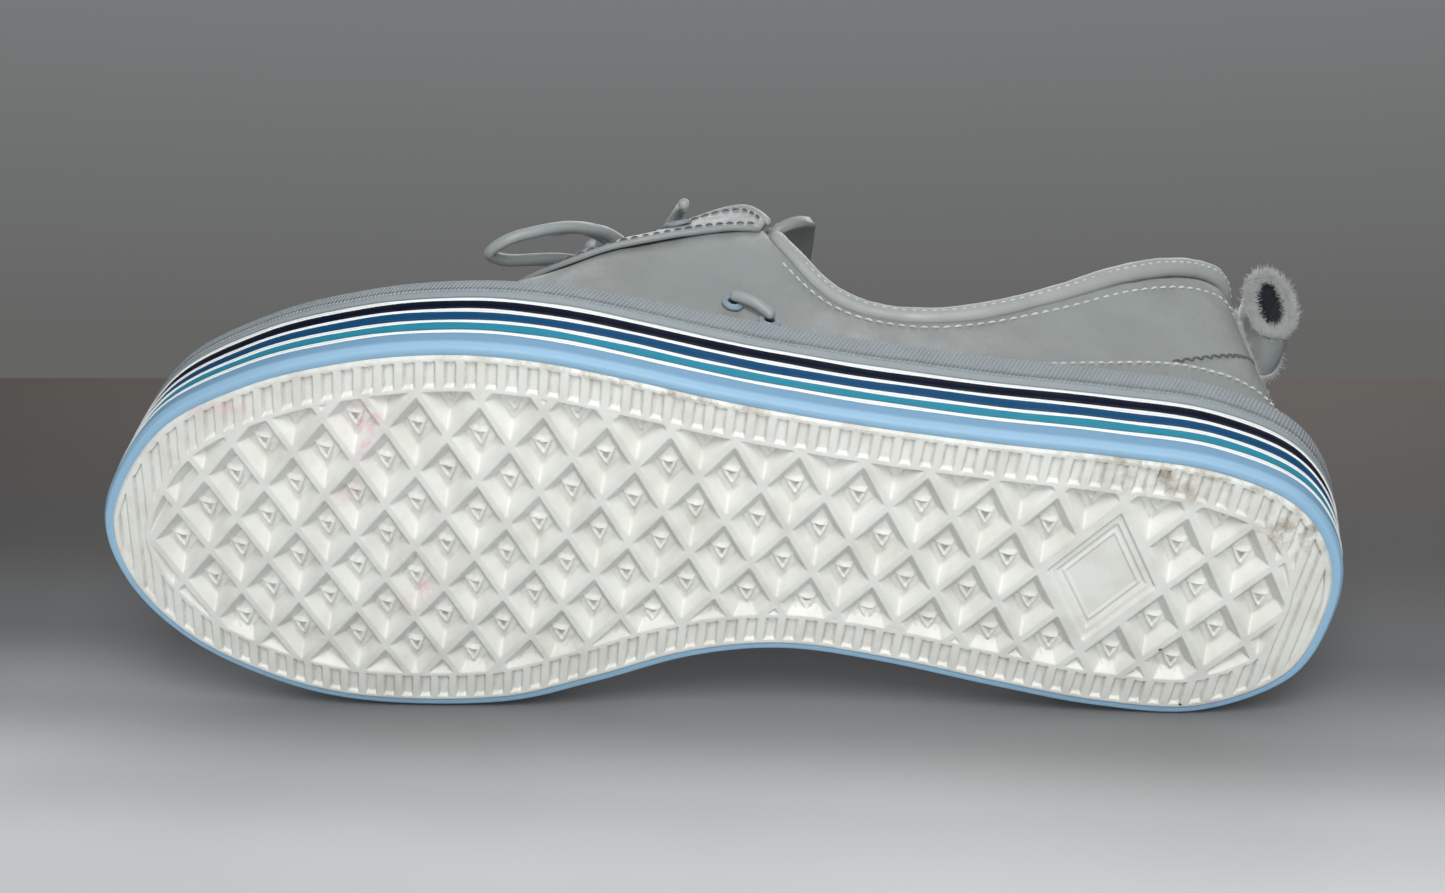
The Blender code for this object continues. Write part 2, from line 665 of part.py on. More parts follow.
KNOT = (11.0, -28.0, 90.5)
KNOT_RADII = (6.0, 4.5, 4.0)
LACES = {
    "lace_crossbar": ((29.0, -41.0, 77.5), (24.0, -41.5, 80.8), (18.0, -42.0, 82.3), (10.0, -42.5, 83.2),
                      (2.0, -43.0, 83.2), (-4.0, -43.5, 82.0), (-9.0, -44.0, 79.5)),
    "lace_run_lateral": ((39.2, -19.2, 83.8), (34.8, -20.0, 89.4), (29.5, -21.6, 93.0), (23.5, -24.3, 93.6),
                         (18.4, -26.8, 92.4)),
    "lace_run_medial": ((-9.8, -18.5, 84.5), (-5.5, -19.5, 88.7), (-1.0, -22.0, 91.0), (4.0, -26.0, 91.2)),
    "lace_loop_lateral": ((17.2, -31.0, 91.5), (21.0, -33.5, 91.0), (26.0, -37.5, 87.0), (31.0, -42.0, 81.5),
                          (36.0, -47.5, 75.5), (40.0, -54.0, 69.0), (41.5, -60.0, 64.5), (38.5, -64.5, 63.5),
                          (33.5, -62.0, 67.5), (28.5, -56.0, 74.0), (23.0, -48.5, 82.0), (17.5, -40.0, 88.5),
                          (14.0, -34.6, 90.2)),
    "lace_loop_medial": ((4.6, -31.0, 91.5), (2.0, -34.5, 93.5), (-2.0, -39.0, 96.0), (-8.0, -46.0, 96.0),
                         (-13.0, -53.0, 91.0), (-14.0, -58.0, 84.0), (-10.0, -59.5, 80.0), (-4.5, -55.0, 82.0),
                         (0.5, -48.5, 86.5), (4.5, -41.0, 89.5), (7.5, -35.0, 90.0)),
    "lace_tail_lateral": ((12.5, -31.5, 96.0), (17.0, -35.5, 97.0), (22.0, -40.5, 95.0), (27.0, -46.0, 89.5),
                          (31.0, -51.0, 82.5)),
    "lace_tail_medial": ((8.5, -30.5, 96.0), (4.0, -32.0, 98.0), (-2.0, -33.5, 98.0), (-8.0, -35.0, 93.0),
                         (-12.0, -37.0, 86.5), (-14.5, -39.5, 80.5)),
}


def laces(parts):
    cord = material("lace_leather", LACE_GREY, 0.7)
    for name, points in LACES.items():
        tube(name, points, LACE_DIAMETER / 2, parts, cord)
    bm = bmesh.new()
    size = Matrix.Diagonal((*(Vector(KNOT_RADII) * MM), 1.0))
    bmesh.ops.create_uvsphere(bm, u_segments=12, v_segments=8, radius=1.0, matrix=Matrix.Translation(Vector(KNOT) * MM) @ size)
    add_object("lace_knot", mesh_from(bm, "lace_knot"), parts, cord)
    for side, (front, rear) in (("lateral", (8.15, 7.6)), ("medial", (22.1, 22.6))):
        ends = [(front, 2.9), (front * 0.67 + rear * 0.33, 3.5), (front * 0.33 + rear * 0.67, 3.5), (rear, 2.9)]
        tube(f"side_lace_{side}", [lifted(p, 0.42, lift) for p, lift in ends], 1.2, parts, cord)


LOOP_HEIGHT = 24.0
LOOP_DEPTH = 13.0


def pull_loop(parts):
    """A folded strap at the top of the backstay: a band with an eye through it, hinged where it is sewn."""
    anchor = lifted(0.0, TOP_SHARE, OVERLAY_LIFT + GAP)
    curve = bpy.data.curves.new("pull_loop", "CURVE")
    curve.dimensions = "2D"
    curve.fill_mode = "BOTH"
    curve.extrude = LOOP_WIDTH / 2 * MM
    curve.resolution_u = 4
    for trim in (0.0, STRAP_THICKNESS):
        bow = curve.splines.new("BEZIER")
        bow.bezier_points.add(3)
        bow.use_cyclic_u = True
        radii = ((LOOP_DEPTH / 2 - trim), (LOOP_HEIGHT / 2 - trim))
        corners = ((1, 0), (0, 1), (-1, 0), (0, -1))
        for point, (a, b) in zip(bow.bezier_points, corners):
            point.co = (a * radii[0] * MM, b * radii[1] * MM, 0.0)
            point.handle_left_type = point.handle_right_type = "AUTO"
    obj = bpy.data.objects.new("pull_loop", curve)
    parts.objects.link(obj)
    curve.materials.append(material("raw_edge_leather", (0.7, 0.71, 0.71), 0.6))
    centre = anchor + Vector((0.0, LOOP_DEPTH / 2 + 0.9, 1.0))
    # The curve's X runs to the rear and its Y up.
    obj.matrix_world = Matrix.Translation(centre * MM) @ Matrix(((0, 0, 1, 0), (1, 0, 0, 0), (0, 1, 0, 0), (0, 0, 0, 1)))


clear_scene()
PARTS = new_collection("platform_boat_sneaker")
CUTTERS = new_collection("cutters")
outsole(PARTS, CUTTERS)
sole_unit(PARTS)
upper(PARTS)
collar(PARTS)
tongue(PARTS)
eyelets(PARTS)
laces(PARTS)
pull_loop(PARTS)
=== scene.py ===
"""Looks of the platform boat sneaker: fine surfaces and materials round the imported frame, the light and the camera."""

import math

import bpy
import numpy as np
from mathutils import Matrix, Vector


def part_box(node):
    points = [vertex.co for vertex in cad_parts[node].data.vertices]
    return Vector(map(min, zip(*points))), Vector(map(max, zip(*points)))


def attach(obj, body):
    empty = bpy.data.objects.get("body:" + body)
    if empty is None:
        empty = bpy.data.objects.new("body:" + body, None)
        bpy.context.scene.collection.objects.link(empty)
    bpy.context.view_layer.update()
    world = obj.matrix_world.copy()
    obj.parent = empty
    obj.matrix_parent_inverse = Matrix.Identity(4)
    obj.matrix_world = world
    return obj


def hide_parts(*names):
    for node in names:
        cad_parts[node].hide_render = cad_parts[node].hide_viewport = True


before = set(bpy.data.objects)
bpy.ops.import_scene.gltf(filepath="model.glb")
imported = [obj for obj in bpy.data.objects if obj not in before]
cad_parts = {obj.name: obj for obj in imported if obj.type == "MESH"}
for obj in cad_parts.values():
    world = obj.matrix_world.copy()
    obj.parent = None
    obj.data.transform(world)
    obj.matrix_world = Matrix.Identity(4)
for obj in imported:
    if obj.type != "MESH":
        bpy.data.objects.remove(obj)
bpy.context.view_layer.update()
RNG = np.random.default_rng(11)
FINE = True
MM = 0.001
SENSOR = 36.0

# ---- the shoe's own sizes, mm: for each station the sole's edge (x, y) and the upper's top edge (x, y, z)
STATIONS = (
    (18, 143, 18, 121, 93), (36, 139.5, 28, 117, 91), (50, 127.5, 35, 106, 85), (56, 108, 38.5, 92, 77),
    (56, 85, 40, 74, 66), (54.6, 60, 40, 55, 58), (53.9, 35, 39, 38, 56), (54, 15, 37, 22, 61),
    (54.8, -3, 32, 8, 75), (56.4, -22, 24, -4, 92), (57.2, -42, 19, -20, 88), (55.2, -62, 15, -36, 80),
    (49, -84, 12, -48, 73), (38, -107.5, 8, -54.5, 70), (20.5, -129.5, 4.5, -57.5, 69), (-6.9, -142.8, 1.5, -58.5, 69),
    (-29, -139.5, -1.5, -57.5, 69), (-46.5, -124, -5, -54.5, 70), (-56, -100, -7, -48, 73), (-57, -76, -8, -36, 80),
    (-50, -44.5, -8, -20, 88), (-37.8, -21.5, -9, -4, 92), (-24.5, 0.5, -13, 8, 78), (-17.2, 22, -13, 22, 67),
    (-16.4, 45, -9, 42, 62), (-18.4, 72, -4, 66, 66), (-19.4, 97, 0, 90, 77), (-16, 121, 4, 107, 86),
    (-1.5, 139, 9, 117, 91),
)
COUNT = len(STATIONS)
SCALE_X, SCALE_Y = 114.6 / 114.2, 286.0 / 285.8
LEAN = 0.16
EDGE = np.array([(x * SCALE_X, y * SCALE_Y) for x, y, *_ in STATIONS])
TOP = np.array([((x + LEAN * (z - 28.0)) * SCALE_X, y * SCALE_Y, z) for *_, x, y, z in STATIONS])
FEATHER_INSET = 5.1
FEATHER_HEIGHT = 16.7
LINING_LIFT = -3.8
OVERLAY_LIFT = 1.8
TEXTURED_START = 22.9
OUTSOLE_INSET = 2.5
SKIRT_LEVEL = 4.6
RIM_WIDTH = 9.8
SLOT_PITCH = 4.6
RIB_HALF = 0.9
WALL_RUN = 2.2
PLAQUE_ROW = 13.5
PLAQUE_SIZE = 0.93
PINSTRIPE_HEIGHT = 0.95
STITCH_LIFT = 0.1
PANEL_EDGE = 0.015
CELL_LENGTH, CELL_WIDTH = 14.3, 22.4
CELL_ORIGIN = (20.2, -103.0)
TREAD_DEPTH = 3.0


# ---- curves and the upper's surface, on whole arrays
def catmull_rom(p0, p1, p2, p3, t):
    return 0.5 * (2 * p1 + (p2 - p0) * t + (2 * p0 - 5 * p1 + 4 * p2 - p3) * t**2
                  + (3 * p1 - p0 - 3 * p2 + p3) * t**3)


def spline(points, position):
    """Points of the closed Catmull-Rom curve, at positions counted in stations."""
    position = np.asarray(position, float)
    base = np.floor(position).astype(int)
    t = (position - base)[..., None]
    return catmull_rom(*(points[(base + k) % len(points)] for k in (-1, 0, 1, 2)), t)


def unit(v):
    return v / np.maximum(np.linalg.norm(v, axis=-1, keepdims=True), 1e-9)


def edge_point(position, outward=0.0):
    here = spline(EDGE, position)
    along = unit(spline(EDGE, np.asarray(position) + 0.02) - spline(EDGE, np.asarray(position) - 0.02))
    outward = np.asarray(outward, float)[..., None] if np.ndim(outward) else outward
    return here + np.stack([-along[..., 1], along[..., 0]], -1) * outward


def skin(position, share):
    """The upper's outer surface: from the feather edge (0) to the top edge (1)."""
    position, share = np.broadcast_arrays(np.asarray(position, float), np.asarray(share, float))
    foot = edge_point(position, -FEATHER_INSET)
    low = np.concatenate([foot, np.full((*foot.shape[:-1], 1), FEATHER_HEIGHT)], -1)
    high = spline(TOP, position)
    rise = (high[..., 2] - low[..., 2])[..., None]
    out = (low - high) * (1, 1, 0)
    slant = np.minimum(np.linalg.norm(out, axis=-1, keepdims=True) / rise, 2.0)
    z = np.array((0.0, 0.0, 1.0))
    first = low + z * rise * 0.42
    second = high + out * (0.18 + 0.2 * slant) - z * rise * 0.3 / (0.6 + slant)
    t = share[..., None]
    return (1 - t) ** 3 * low + 3 * (1 - t) ** 2 * t * first + 3 * (1 - t) * t * t * second + t**3 * high


def skin_normal(position, share):
    along = skin(position + 0.04, share) - skin(position - 0.04, share)
    up = skin(position, np.minimum(share + 0.01, 1.0)) - skin(position, np.maximum(share - 0.01, 0.0))
    return unit(np.cross(up, along))


def lifted(position, share, lift):
    position, share = np.broadcast_arrays(np.asarray(position, float), np.asarray(share, float))
    lift = np.broadcast_to(np.asarray(lift, float), position.shape)[..., None]
    return skin(position, share) + skin_normal(position, share) * lift


def smoothstep(low, high, value):
    t = np.clip((np.asarray(value) - low) / (high - low), 0, 1)
    return t * t * (3 - 2 * t)


def noise3(points, size, seed):
    """Smooth value noise from -1 to 1, with features of about the given size in mm."""
    q = np.asarray(points, float) / size + seed * 17.13
    cell = np.floor(q)
    f = q - cell
    f = f * f * (3 - 2 * f)
    total = 0.0
    for corner in np.ndindex(2, 2, 2):
        c = cell + corner
        value = np.sin(c[..., 0] * 127.1 + c[..., 1] * 311.7 + c[..., 2] * 74.7) * 43758.5453
        weight = np.prod(np.where(np.array(corner) == 1, f, 1 - f), axis=-1)
        total = total + weight * ((value - np.floor(value)) * 2 - 1)
    return total


def flat_noise(points, size, seed):
    return noise3(np.column_stack([points, np.zeros(len(points))]), size, seed)


def open_curve(points, per_span):
    """A smooth open curve through the points."""
    p = np.asarray(points, float)
    p = np.vstack([2 * p[0] - p[1], p, 2 * p[-1] - p[-2]])
    found = []
    for k in range(1, len(p) - 2):
        found += [catmull_rom(*p[k - 1 : k + 3], t) for t in np.arange(per_span) / per_span]
    return np.array([*found, p[-2]])


# ---- materials
def srgb(*rgb):
    """Linear colour of an 8-bit display colour."""
    shares = [c / 255 for c in rgb]
    return tuple(c / 12.92 if c <= 0.04045 else ((c + 0.055) / 1.055) ** 2.4 for c in shares)


class Material:
    """A Principled material built from small procedural layers."""

    def __init__(self, name, colour, roughness, specular):
        self.mat = bpy.data.materials.new(name)
        self.mat.use_nodes = True
        self.tree = self.mat.node_tree
        self.shader = self.tree.nodes["Principled BSDF"]
        self.shader.inputs["Roughness"].default_value = roughness
        self.shader.inputs["Specular IOR Level"].default_value = specular
        self.coords = self.node("ShaderNodeTexCoord").outputs["Object"]
        base = self.node("ShaderNodeRGB")
        base.outputs[0].default_value = (*colour, 1.0)
        self.colour = base.outputs[0]
        self.normal = None

    def node(self, kind, inputs=(), **values):
        """A node with some of its inputs set and, by keyword, its own settings."""
        made = self.tree.nodes.new(kind)
        for key, value in values.items():
            setattr(made, key, value)
        for key, value in inputs:
            made.inputs[key].default_value = value
        return made

    def link(self, a, b):
        self.tree.links.new(a, b)

    def noise(self, size, detail=3.0, stretch=(1, 1, 1), roughness=0.55):
        """Noise with features of about the given size in mm."""
        mapping = self.node("ShaderNodeMapping", [("Scale", stretch)])
        self.link(self.coords, mapping.inputs["Vector"])
        made = self.node("ShaderNodeTexNoise",
                         [("Scale", 1000.0 / size), ("Detail", detail), ("Roughness", roughness)])
        self.link(mapping.outputs[0], made.inputs["Vector"])
        return made.outputs["Fac"]

    def cells(self, size):
        made = self.node("ShaderNodeTexVoronoi", [("Scale", 1000.0 / size)])
        self.link(self.coords, made.inputs["Vector"])
        return made.outputs["Distance"]

    def level(self):
        """The height above the ground, in metres."""
        split = self.node("ShaderNodeSeparateXYZ")
        self.link(self.coords, split.inputs[0])
        return split.outputs["Z"]

    def attribute(self, name):
        return self.node("ShaderNodeAttribute", attribute_name=name).outputs["Fac"]

    def ramp(self, value, low, high, out_low=0.0, out_high=1.0):
        made = self.node("ShaderNodeMapRange", [("From Min", low), ("From Max", high),
                                                ("To Min", out_low), ("To Max", out_high)])
        self.link(value, made.inputs["Value"])
        return made.outputs["Result"]

    def times(self, a, b):
        made = self.node("ShaderNodeMath", operation="MULTIPLY")
        self.link(a, made.inputs[0])
        if isinstance(b, float):
            made.inputs[1].default_value = b
        else:
            self.link(b, made.inputs[1])
        return made.outputs[0]

    def tint(self, colour, share):
        """Mixes the colour in by the share, a socket."""
        made = self.node("ShaderNodeMix", [(7, (*colour, 1.0))], data_type="RGBA")
        self.link(share, made.inputs[0])
        self.link(self.colour, made.inputs[6])
        self.colour = made.outputs[2]

    def multiply(self, colour, share):
        """Multiplies by a colour socket, as far as the share says."""
        made = self.node("ShaderNodeMix", [(0, share)], data_type="RGBA", blend_type="MULTIPLY")
        self.link(self.colour, made.inputs[6])
        self.link(colour, made.inputs[7])
        self.colour = made.outputs[2]

    def patches(self, colour, size, detail, low, high, most, stretch=(1, 1, 1)):
        """Tints in soft patches: none where the noise is low, the most where it is high."""
        self.tint(colour, self.ramp(self.noise(size, detail, stretch), low, high, 0.0, most))

    def stain(self, name, colour, noise, *levels):
        """Tints where the mesh's attribute says, broken up by noise."""
        self.tint(colour, self.times(self.attribute(name), self.ramp(noise, *levels)))

    def bump(self, height, distance, strength):
        """Adds a bump of the given depth in mm."""
        made = self.node("ShaderNodeBump", [("Distance", distance * MM), ("Strength", strength)])
        self.link(height, made.inputs["Height"])
        if self.normal:
            self.link(self.normal, made.inputs["Normal"])
        self.normal = made.outputs[0]

    def done(self, gloss_size=None, low=0.0, high=0.0):
        """Links the layers up; a gloss size lets the roughness wander between low and high."""
        if gloss_size:
            gloss = self.ramp(self.noise(gloss_size), 0.3, 0.7, low, high)
            self.link(gloss, self.shader.inputs["Roughness"])
        self.link(self.colour, self.shader.inputs["Base Color"])
        if self.normal:
            self.link(self.normal, self.shader.inputs["Normal"])
        return self.mat


def darker(colour, share):
    return tuple(c * share for c in colour)


def rubber(name, colour, marks, dark=0.75, specular=0.4, chamfer=None):
    """Moulded rubber with fine tooth, faint blotches and scuff marks; the chamfer's colour is at the ground."""
    made = Material(name, colour, 0.52, specular)
    made.patches(darker(colour, dark), 9.0, 4.0, 0.45, 0.75, 0.35)
    made.patches(marks, 1.6, 5.0, 0.62, 0.74, 0.3, (1, 0.35, 2.5))
    if chamfer:
        made.tint(chamfer, made.ramp(made.level(), 0.0029, 0.0021, 0.0, 0.75))
    made.bump(made.noise(0.35, 2.0), 0.05, 0.5)
    return made.done(5.0, 0.42, 0.62)


def leather(name, colour, crease=0.35):
    """Smooth coated leather: pores, fine wrinkles, soft blotches and a little grey dirt."""
    made = Material(name, colour, 0.45, 0.45)
    made.patches(darker(colour, 0.78), 14.0, 4.0, 0.42, 0.78, 0.55)
    made.patches(srgb(118, 112, 104), 3.2, 6.0, 0.64, 0.8, 0.35)
    made.bump(made.cells(0.55), 0.05, 0.35)
    made.bump(made.noise(2.6, 5.0, (1, 2.2, 0.8)), crease, 0.5)
    return made.done(4.0, 0.36, 0.55)


def fabric(name, colour, size, depth):
    """A plain weave: crossed waves with fibre noise."""
    made = Material(name, colour, 0.85, 0.2)
    made.patches(darker(colour, 0.7), 6.0, 5.0, 0.4, 0.75, 0.5)
    for direction in ("X", "Y", "Z"):
        wave = made.node("ShaderNodeTexWave", [("Scale", 1000.0 / size / 6.3), ("Distortion", 0.6)],
                         bands_direction=direction)
        made.link(made.coords, wave.inputs["Vector"])
        made.bump(wave.outputs["Fac"], depth * 0.5, 0.6)
    made.bump(made.noise(0.3, 3.0), depth, 0.5)
    made.shader.inputs["Sheen Weight"].default_value = 0.15
    return made.done()


def sole_rubber():
    """The white outsole: painted shade in the recesses, brown grime along the rim, pink stains and black specks."""
    made = Material("white_sole_rubber", srgb(224, 225, 220), 0.5, 0.4)
    made.patches(srgb(196, 193, 184), 11.0, 5.0, 0.42, 0.75, 0.6)
    # painted shade: the recesses, slots and stud hollows are tinted darker grey
    made.stain("painted_hollow_shade", srgb(150, 146, 138), made.noise(2.5, 5.0), 0.35, 0.65, 0.25, 1.0)
    made.stain("grime", srgb(132, 118, 96), made.noise(5.0, 6.0, roughness=0.7), 0.42, 0.66, 0.0, 0.9)
    made.stain("pink", srgb(240, 150, 185), made.noise(2.2, 4.0), 0.45, 0.7, 0.0, 0.75)
    made.tint(srgb(45, 42, 40), made.attribute("speck"))
    made.patches(srgb(150, 145, 134), 0.9, 4.0, 0.7, 0.78, 0.5)
    made.bump(made.noise(0.4, 3.0), 0.05, 0.5)
    made.bump(made.noise(3.0, 4.0), 0.12, 0.4)
    return made.done(4.0, 0.4, 0.62)


def textured_rubber():
    """Fine raised lines across the band, one to each pitch of travel along it, aslant."""
    pitch, slant = 0.95, 380.0
    made = Material("textured_foxing", srgb(146, 154, 160), 0.62, 0.3)
    made.patches(srgb(128, 136, 143), 8.0, 4.0, 0.42, 0.75, 0.6)
    place = made.node("ShaderNodeMath", [(1, slant)], operation="MULTIPLY_ADD")
    made.link(made.level(), place.inputs[0])
    made.link(made.attribute("travel"), place.inputs[2])
    lines = made.node("ShaderNodeMath", operation="SINE")
    made.link(made.times(place.outputs[0], math.tau / pitch), lines.inputs[0])
    broken = made.ramp(made.noise(1.4, 2.0), 0.3, 0.6, 0.35, 1.0)
    lines = made.times(made.ramp(lines.outputs[0], -0.6, 0.9), broken)
    # painted highlight: the raised lines are tinted paler
    made.tint(srgb(186, 194, 200), made.times(lines, 0.42))
    made.bump(lines, 0.25, 0.9)
    made.bump(made.noise(0.3, 2.0), 0.06, 0.5)
    return made.done()


M = {
    "outsole": sole_rubber(),
    "sky": rubber("sky_rubber", srgb(124, 165, 198), srgb(104, 134, 158), 0.86, 0.25, srgb(152, 188, 214)),
    "teal": rubber("teal_rubber", srgb(36, 138, 166), srgb(70, 150, 172), 0.85, 0.2),
    "blue": rubber("blue_rubber", srgb(0, 72, 116), srgb(20, 92, 130), 0.8, 0.12),
    "navy": rubber("navy_rubber", srgb(2, 13, 36), srgb(16, 28, 50), 0.7, 0.06),
    "stripe": rubber("white_stripe_rubber", srgb(246, 249, 250), srgb(215, 220, 224), 0.92),
    "smooth": rubber("smooth_grey_rubber", srgb(152, 162, 167), srgb(125, 133, 140), 0.88),
    "textured": textured_rubber(),
    "leather": leather("grey_leather", srgb(146, 151, 151)),
    # painted highlight: the rolled edges take a paler copy of the grey leather
    "painted_highlight_leather": leather("rolled_edge_painted_highlight", srgb(162, 166, 166), 0.2),
    "lace": leather("lace_leather", srgb(156, 161, 162), 0.15),
    "lining": fabric("grey_lining", srgb(138, 139, 137), 0.6, 0.08),
    "thread": fabric("pale_thread", srgb(205, 208, 207), 0.3, 0.1),
    # grey thread; on the eyestays it is painted shade for the stitch holes
    "dark_thread_and_hole_shade": fabric("grey_thread_and_hole_shade", srgb(96, 101, 104), 0.3, 0.1),
    "label": fabric("label_weave", srgb(200, 204, 206), 0.5, 0.15),
    "fuzz": fabric("raw_fibre", srgb(206, 208, 208), 0.3, 0.15),
    # painted shade: a dark fibre that fills the eyelet holes and the heel loop's hollow
    "painted_hollow_shade": fabric("painted_shade_fibre", srgb(46, 48, 58), 0.5, 0.2),
    "eyelet": rubber("grey_eyelet_plastic", srgb(140, 149, 155), srgb(150, 156, 160), 0.9),
    "side_metal": rubber("blue_grey_grommet", srgb(140, 158, 170), srgb(100, 112, 122), 0.8),
    "board": fabric("fibre_board", srgb(170, 150, 118), 0.8, 0.1),
    "foam": rubber("white_foam", srgb(228, 228, 222), srgb(200, 200, 195)),
}


# ---- meshes
def settle(points):
    """The soft upper, lying on its side, leans towards the lateral side, most at the heel."""
    points = np.array(points, float)
    x, y, z = points[..., 0], points[..., 1], points[..., 2]
    share = 0.3 + 0.7 * smoothstep(0.0, 95.0, y)
    throat = smoothstep(2.0, 30.0, x) * smoothstep(34.0, 78.0, z)
    throat = throat * smoothstep(-75.0, -30.0, y) * smoothstep(32.0, -5.0, y)
    points[..., 0] += 0.19 * np.maximum(z - 29.0, 0.0) * share + 12.0 * throat
    points[..., 2] -= 5.0 * throat
    return points


def mesh_object(name, points, faces, mat, body="shoe", replaces=(), slot=None, attributes=None):
    """An object from points in mm and faces, riding on its body."""
    mesh = bpy.data.meshes.new(name)
    mesh.from_pydata((settle(points).reshape(-1, 3) * MM).tolist(), [], faces)
    mesh.validate()
    mesh.shade_smooth()
    obj = bpy.data.objects.new(name, mesh)
    bpy.context.scene.collection.objects.link(obj)
    mesh.materials.append(M[mat])
    for key, values in (attributes or {}).items():
        layer = mesh.attributes.new(key, "FLOAT", "POINT")
        layer.data.foreach_set("value", np.asarray(values, np.float32).ravel())
    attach(obj, body)
    if replaces:
        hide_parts(*replaces)
    return obj


def grid_faces(rows, columns, wrap_rows=False, wrap_columns=False, start=0):
    """Quads of a grid of points stored row by row."""
    i = np.arange(rows if wrap_rows else rows - 1)[:, None]
    j = np.arange(columns if wrap_columns else columns - 1)[None, :]
    a = i * columns + j
    b = i * columns + (j + 1) % columns
    c = (i + 1) % rows * columns + (j + 1) % columns
    d = (i + 1) % rows * columns + j
    return (np.stack([a, b, c, d], -1).reshape(-1, 4) + start).tolist()


def around(sides):
    return np.arange(sides) * math.tau / sides


def tube(name, path, radius, mat, sides, **options):
    """A round-ended tube along a path in mm; the radius may be one number or one for each point."""
    path = np.asarray(path, float)
    lead, tail = unit(path[0] - path[1]), unit(path[-1] - path[-2])
    radii = np.broadcast_to(radius, len(path)).astype(float)
    cap = [(0.5, 0.87), (0.87, 0.5), (0.99, 0.12)]
    front = [path[0] + lead * radii[0] * a * 0.8 for a, _ in cap[::-1]]
    back = [path[-1] + tail * radii[-1] * a * 0.8 for a, _ in cap]
    whole = np.vstack([front, path, back])
    sizes = np.concatenate([[radii[0] * b for _, b in cap[::-1]], radii, [radii[-1] * b for _, b in cap]])
    angles = around(sides)
    side = None
    rings = []
    for point, along, size in zip(whole, unit(np.gradient(whole, axis=0)), sizes):
        if side is None:
            side = unit(np.cross(along, (0.13, 0.21, 0.97)))
        side = unit(side - along * (side @ along))
        other = np.cross(along, side)
        rings.append(point + size * (np.cos(angles)[:, None] * side + np.sin(angles)[:, None] * other))
    faces = grid_faces(len(rings), sides, wrap_columns=True)
    faces += [list(range(sides))[::-1], list(range((len(rings) - 1) * sides, len(rings) * sides))]
    return mesh_object(name, np.array(rings), faces, mat, **options)


def rim_indices(rows, columns):
    """The border of a grid of points, once round."""
    sides = (np.arange(columns), np.arange(1, rows) * columns + columns - 1,
             (rows - 1) * columns + np.arange(columns - 1)[::-1], np.arange(rows - 1)[1:][::-1] * columns)
    return np.concatenate(sides).tolist()


def band_faces(first, second, outward=False):
    """Quads between two rings of point numbers."""
    pairs = zip(first, first[1:] + first[:1], second, second[1:] + second[:1])
    return [[a, b, d, c] if outward else [b, a, c, d] for a, b, c, d in pairs]


def slab_faces(rows, columns, down=False):
    """A grid, a skirt from its border to a second ring of points, and the cap that closes the ring."""
    ring, top = rim_indices(rows, columns), grid_faces(rows, columns)
    cap = [rows * columns + k for k in range(len(ring))]
    if down:
        return [face[::-1] for face in top] + band_faces(ring, cap, True) + [cap]
    return top + band_faces(ring, cap) + [cap[::-1]]


def shell(name, outer, normals, thickness, mat, **options):
    """A closed sheet from a grid of outer points: rounded edges and an inner face."""
    inner = outer - normals * thickness
    rows, columns = outer.shape[:2]
    bevel = min(0.35, thickness * 0.35)
    border = np.zeros((rows, columns), bool)
    border[[0, -1], :] = border[:, [0, -1]] = True
    outer = np.where(border[..., None], outer - normals * bevel, outer)
    count = rows * columns
    loop = rim_indices(rows, columns)
    faces = grid_faces(rows, columns)
    faces += [face[::-1] for face in grid_faces(rows, columns, start=count)]
    faces += band_faces(loop, [k + count for k in loop])
    return mesh_object(name, np.concatenate([outer.reshape(-1, 3), inner.reshape(-1, 3)]), faces, mat, **options)


def creased(points, normals, amount, seed):
    """Pushes a leather surface in and out by soft dents and finer wrinkles."""
    push = noise3(points, 17.0, seed) * 0.6 + noise3(points * (1.0, 1.6, 1.0), 6.5, seed + 1) * 0.3
    return points + normals * (push * amount)[..., None]


def fine_shares(low, high, count):
    """Values from low to high with two close to each end, for a crisp rounded border."""
    inner = np.linspace(PANEL_EDGE, 1 - PANEL_EDGE, count)
    return low + (high - low) * np.array([0.0, *inner, 1.0])


def panel(name, span, low, high, lift, thickness, mat, counts, crease, seed, **options):
    """A piece of the upper between two stations and two shares, which may be functions of the station."""
    position = fine_shares(*span, counts[0])[:, None]
    bottom = low(position) if callable(low) else np.full_like(position, low)
    top = high(position) if callable(high) else np.full_like(position, high)
    share = bottom + (top - bottom) * fine_shares(0.0, 1.0, counts[1])[None, :]
    position = np.broadcast_to(position, share.shape)
    normals = skin_normal(position, share)
    points = creased(lifted(position, share, lift), normals, crease, seed)
    shell(name, points, normals, thickness, mat, **options)


def stitches(name, path, normals, pitch, length, radius, mat="thread", zigzag=0.0, body="shoe"):
    """A row of single stitches along a path, each a small bar sunk at both ends."""
    steps = np.linalg.norm(np.diff(path, axis=0), axis=1)
    travel = np.concatenate([[0], np.cumsum(steps)])
    centres = np.arange(pitch / 2, travel[-1], pitch)

    def sampled(values, shift=0.0):
        return np.stack([np.interp(centres + shift, travel, values[:, k]) for k in range(3)], -1)

    at, up = sampled(path), unit(sampled(normals))
    along = unit(sampled(path, 0.5) - sampled(path, -0.5))
    side = np.cross(up, along)
    if zigzag:
        turn = (np.arange(len(at)) % 2 * 2 - 1)[:, None] * zigzag
        along = unit(along + side * turn)
        side = np.cross(up, along)
    rings, sides = ((-0.5, 0.3), (-0.3, 0.9), (0.0, 1.1), (0.3, 0.9), (0.5, 0.3)), 6
    points = []
    for share, size in rings:
        for angle in around(sides):
            bow = radius * (1.1 - 3.6 * share * share) + STITCH_LIFT
            points.append(at + along * (share * length) + side * (math.cos(angle) * radius * size)
                          + up * (math.sin(angle) * radius * size * 0.9 + bow - radius * 0.5))
    copies(name, np.stack(points, 1), len(rings), sides, mat, body)


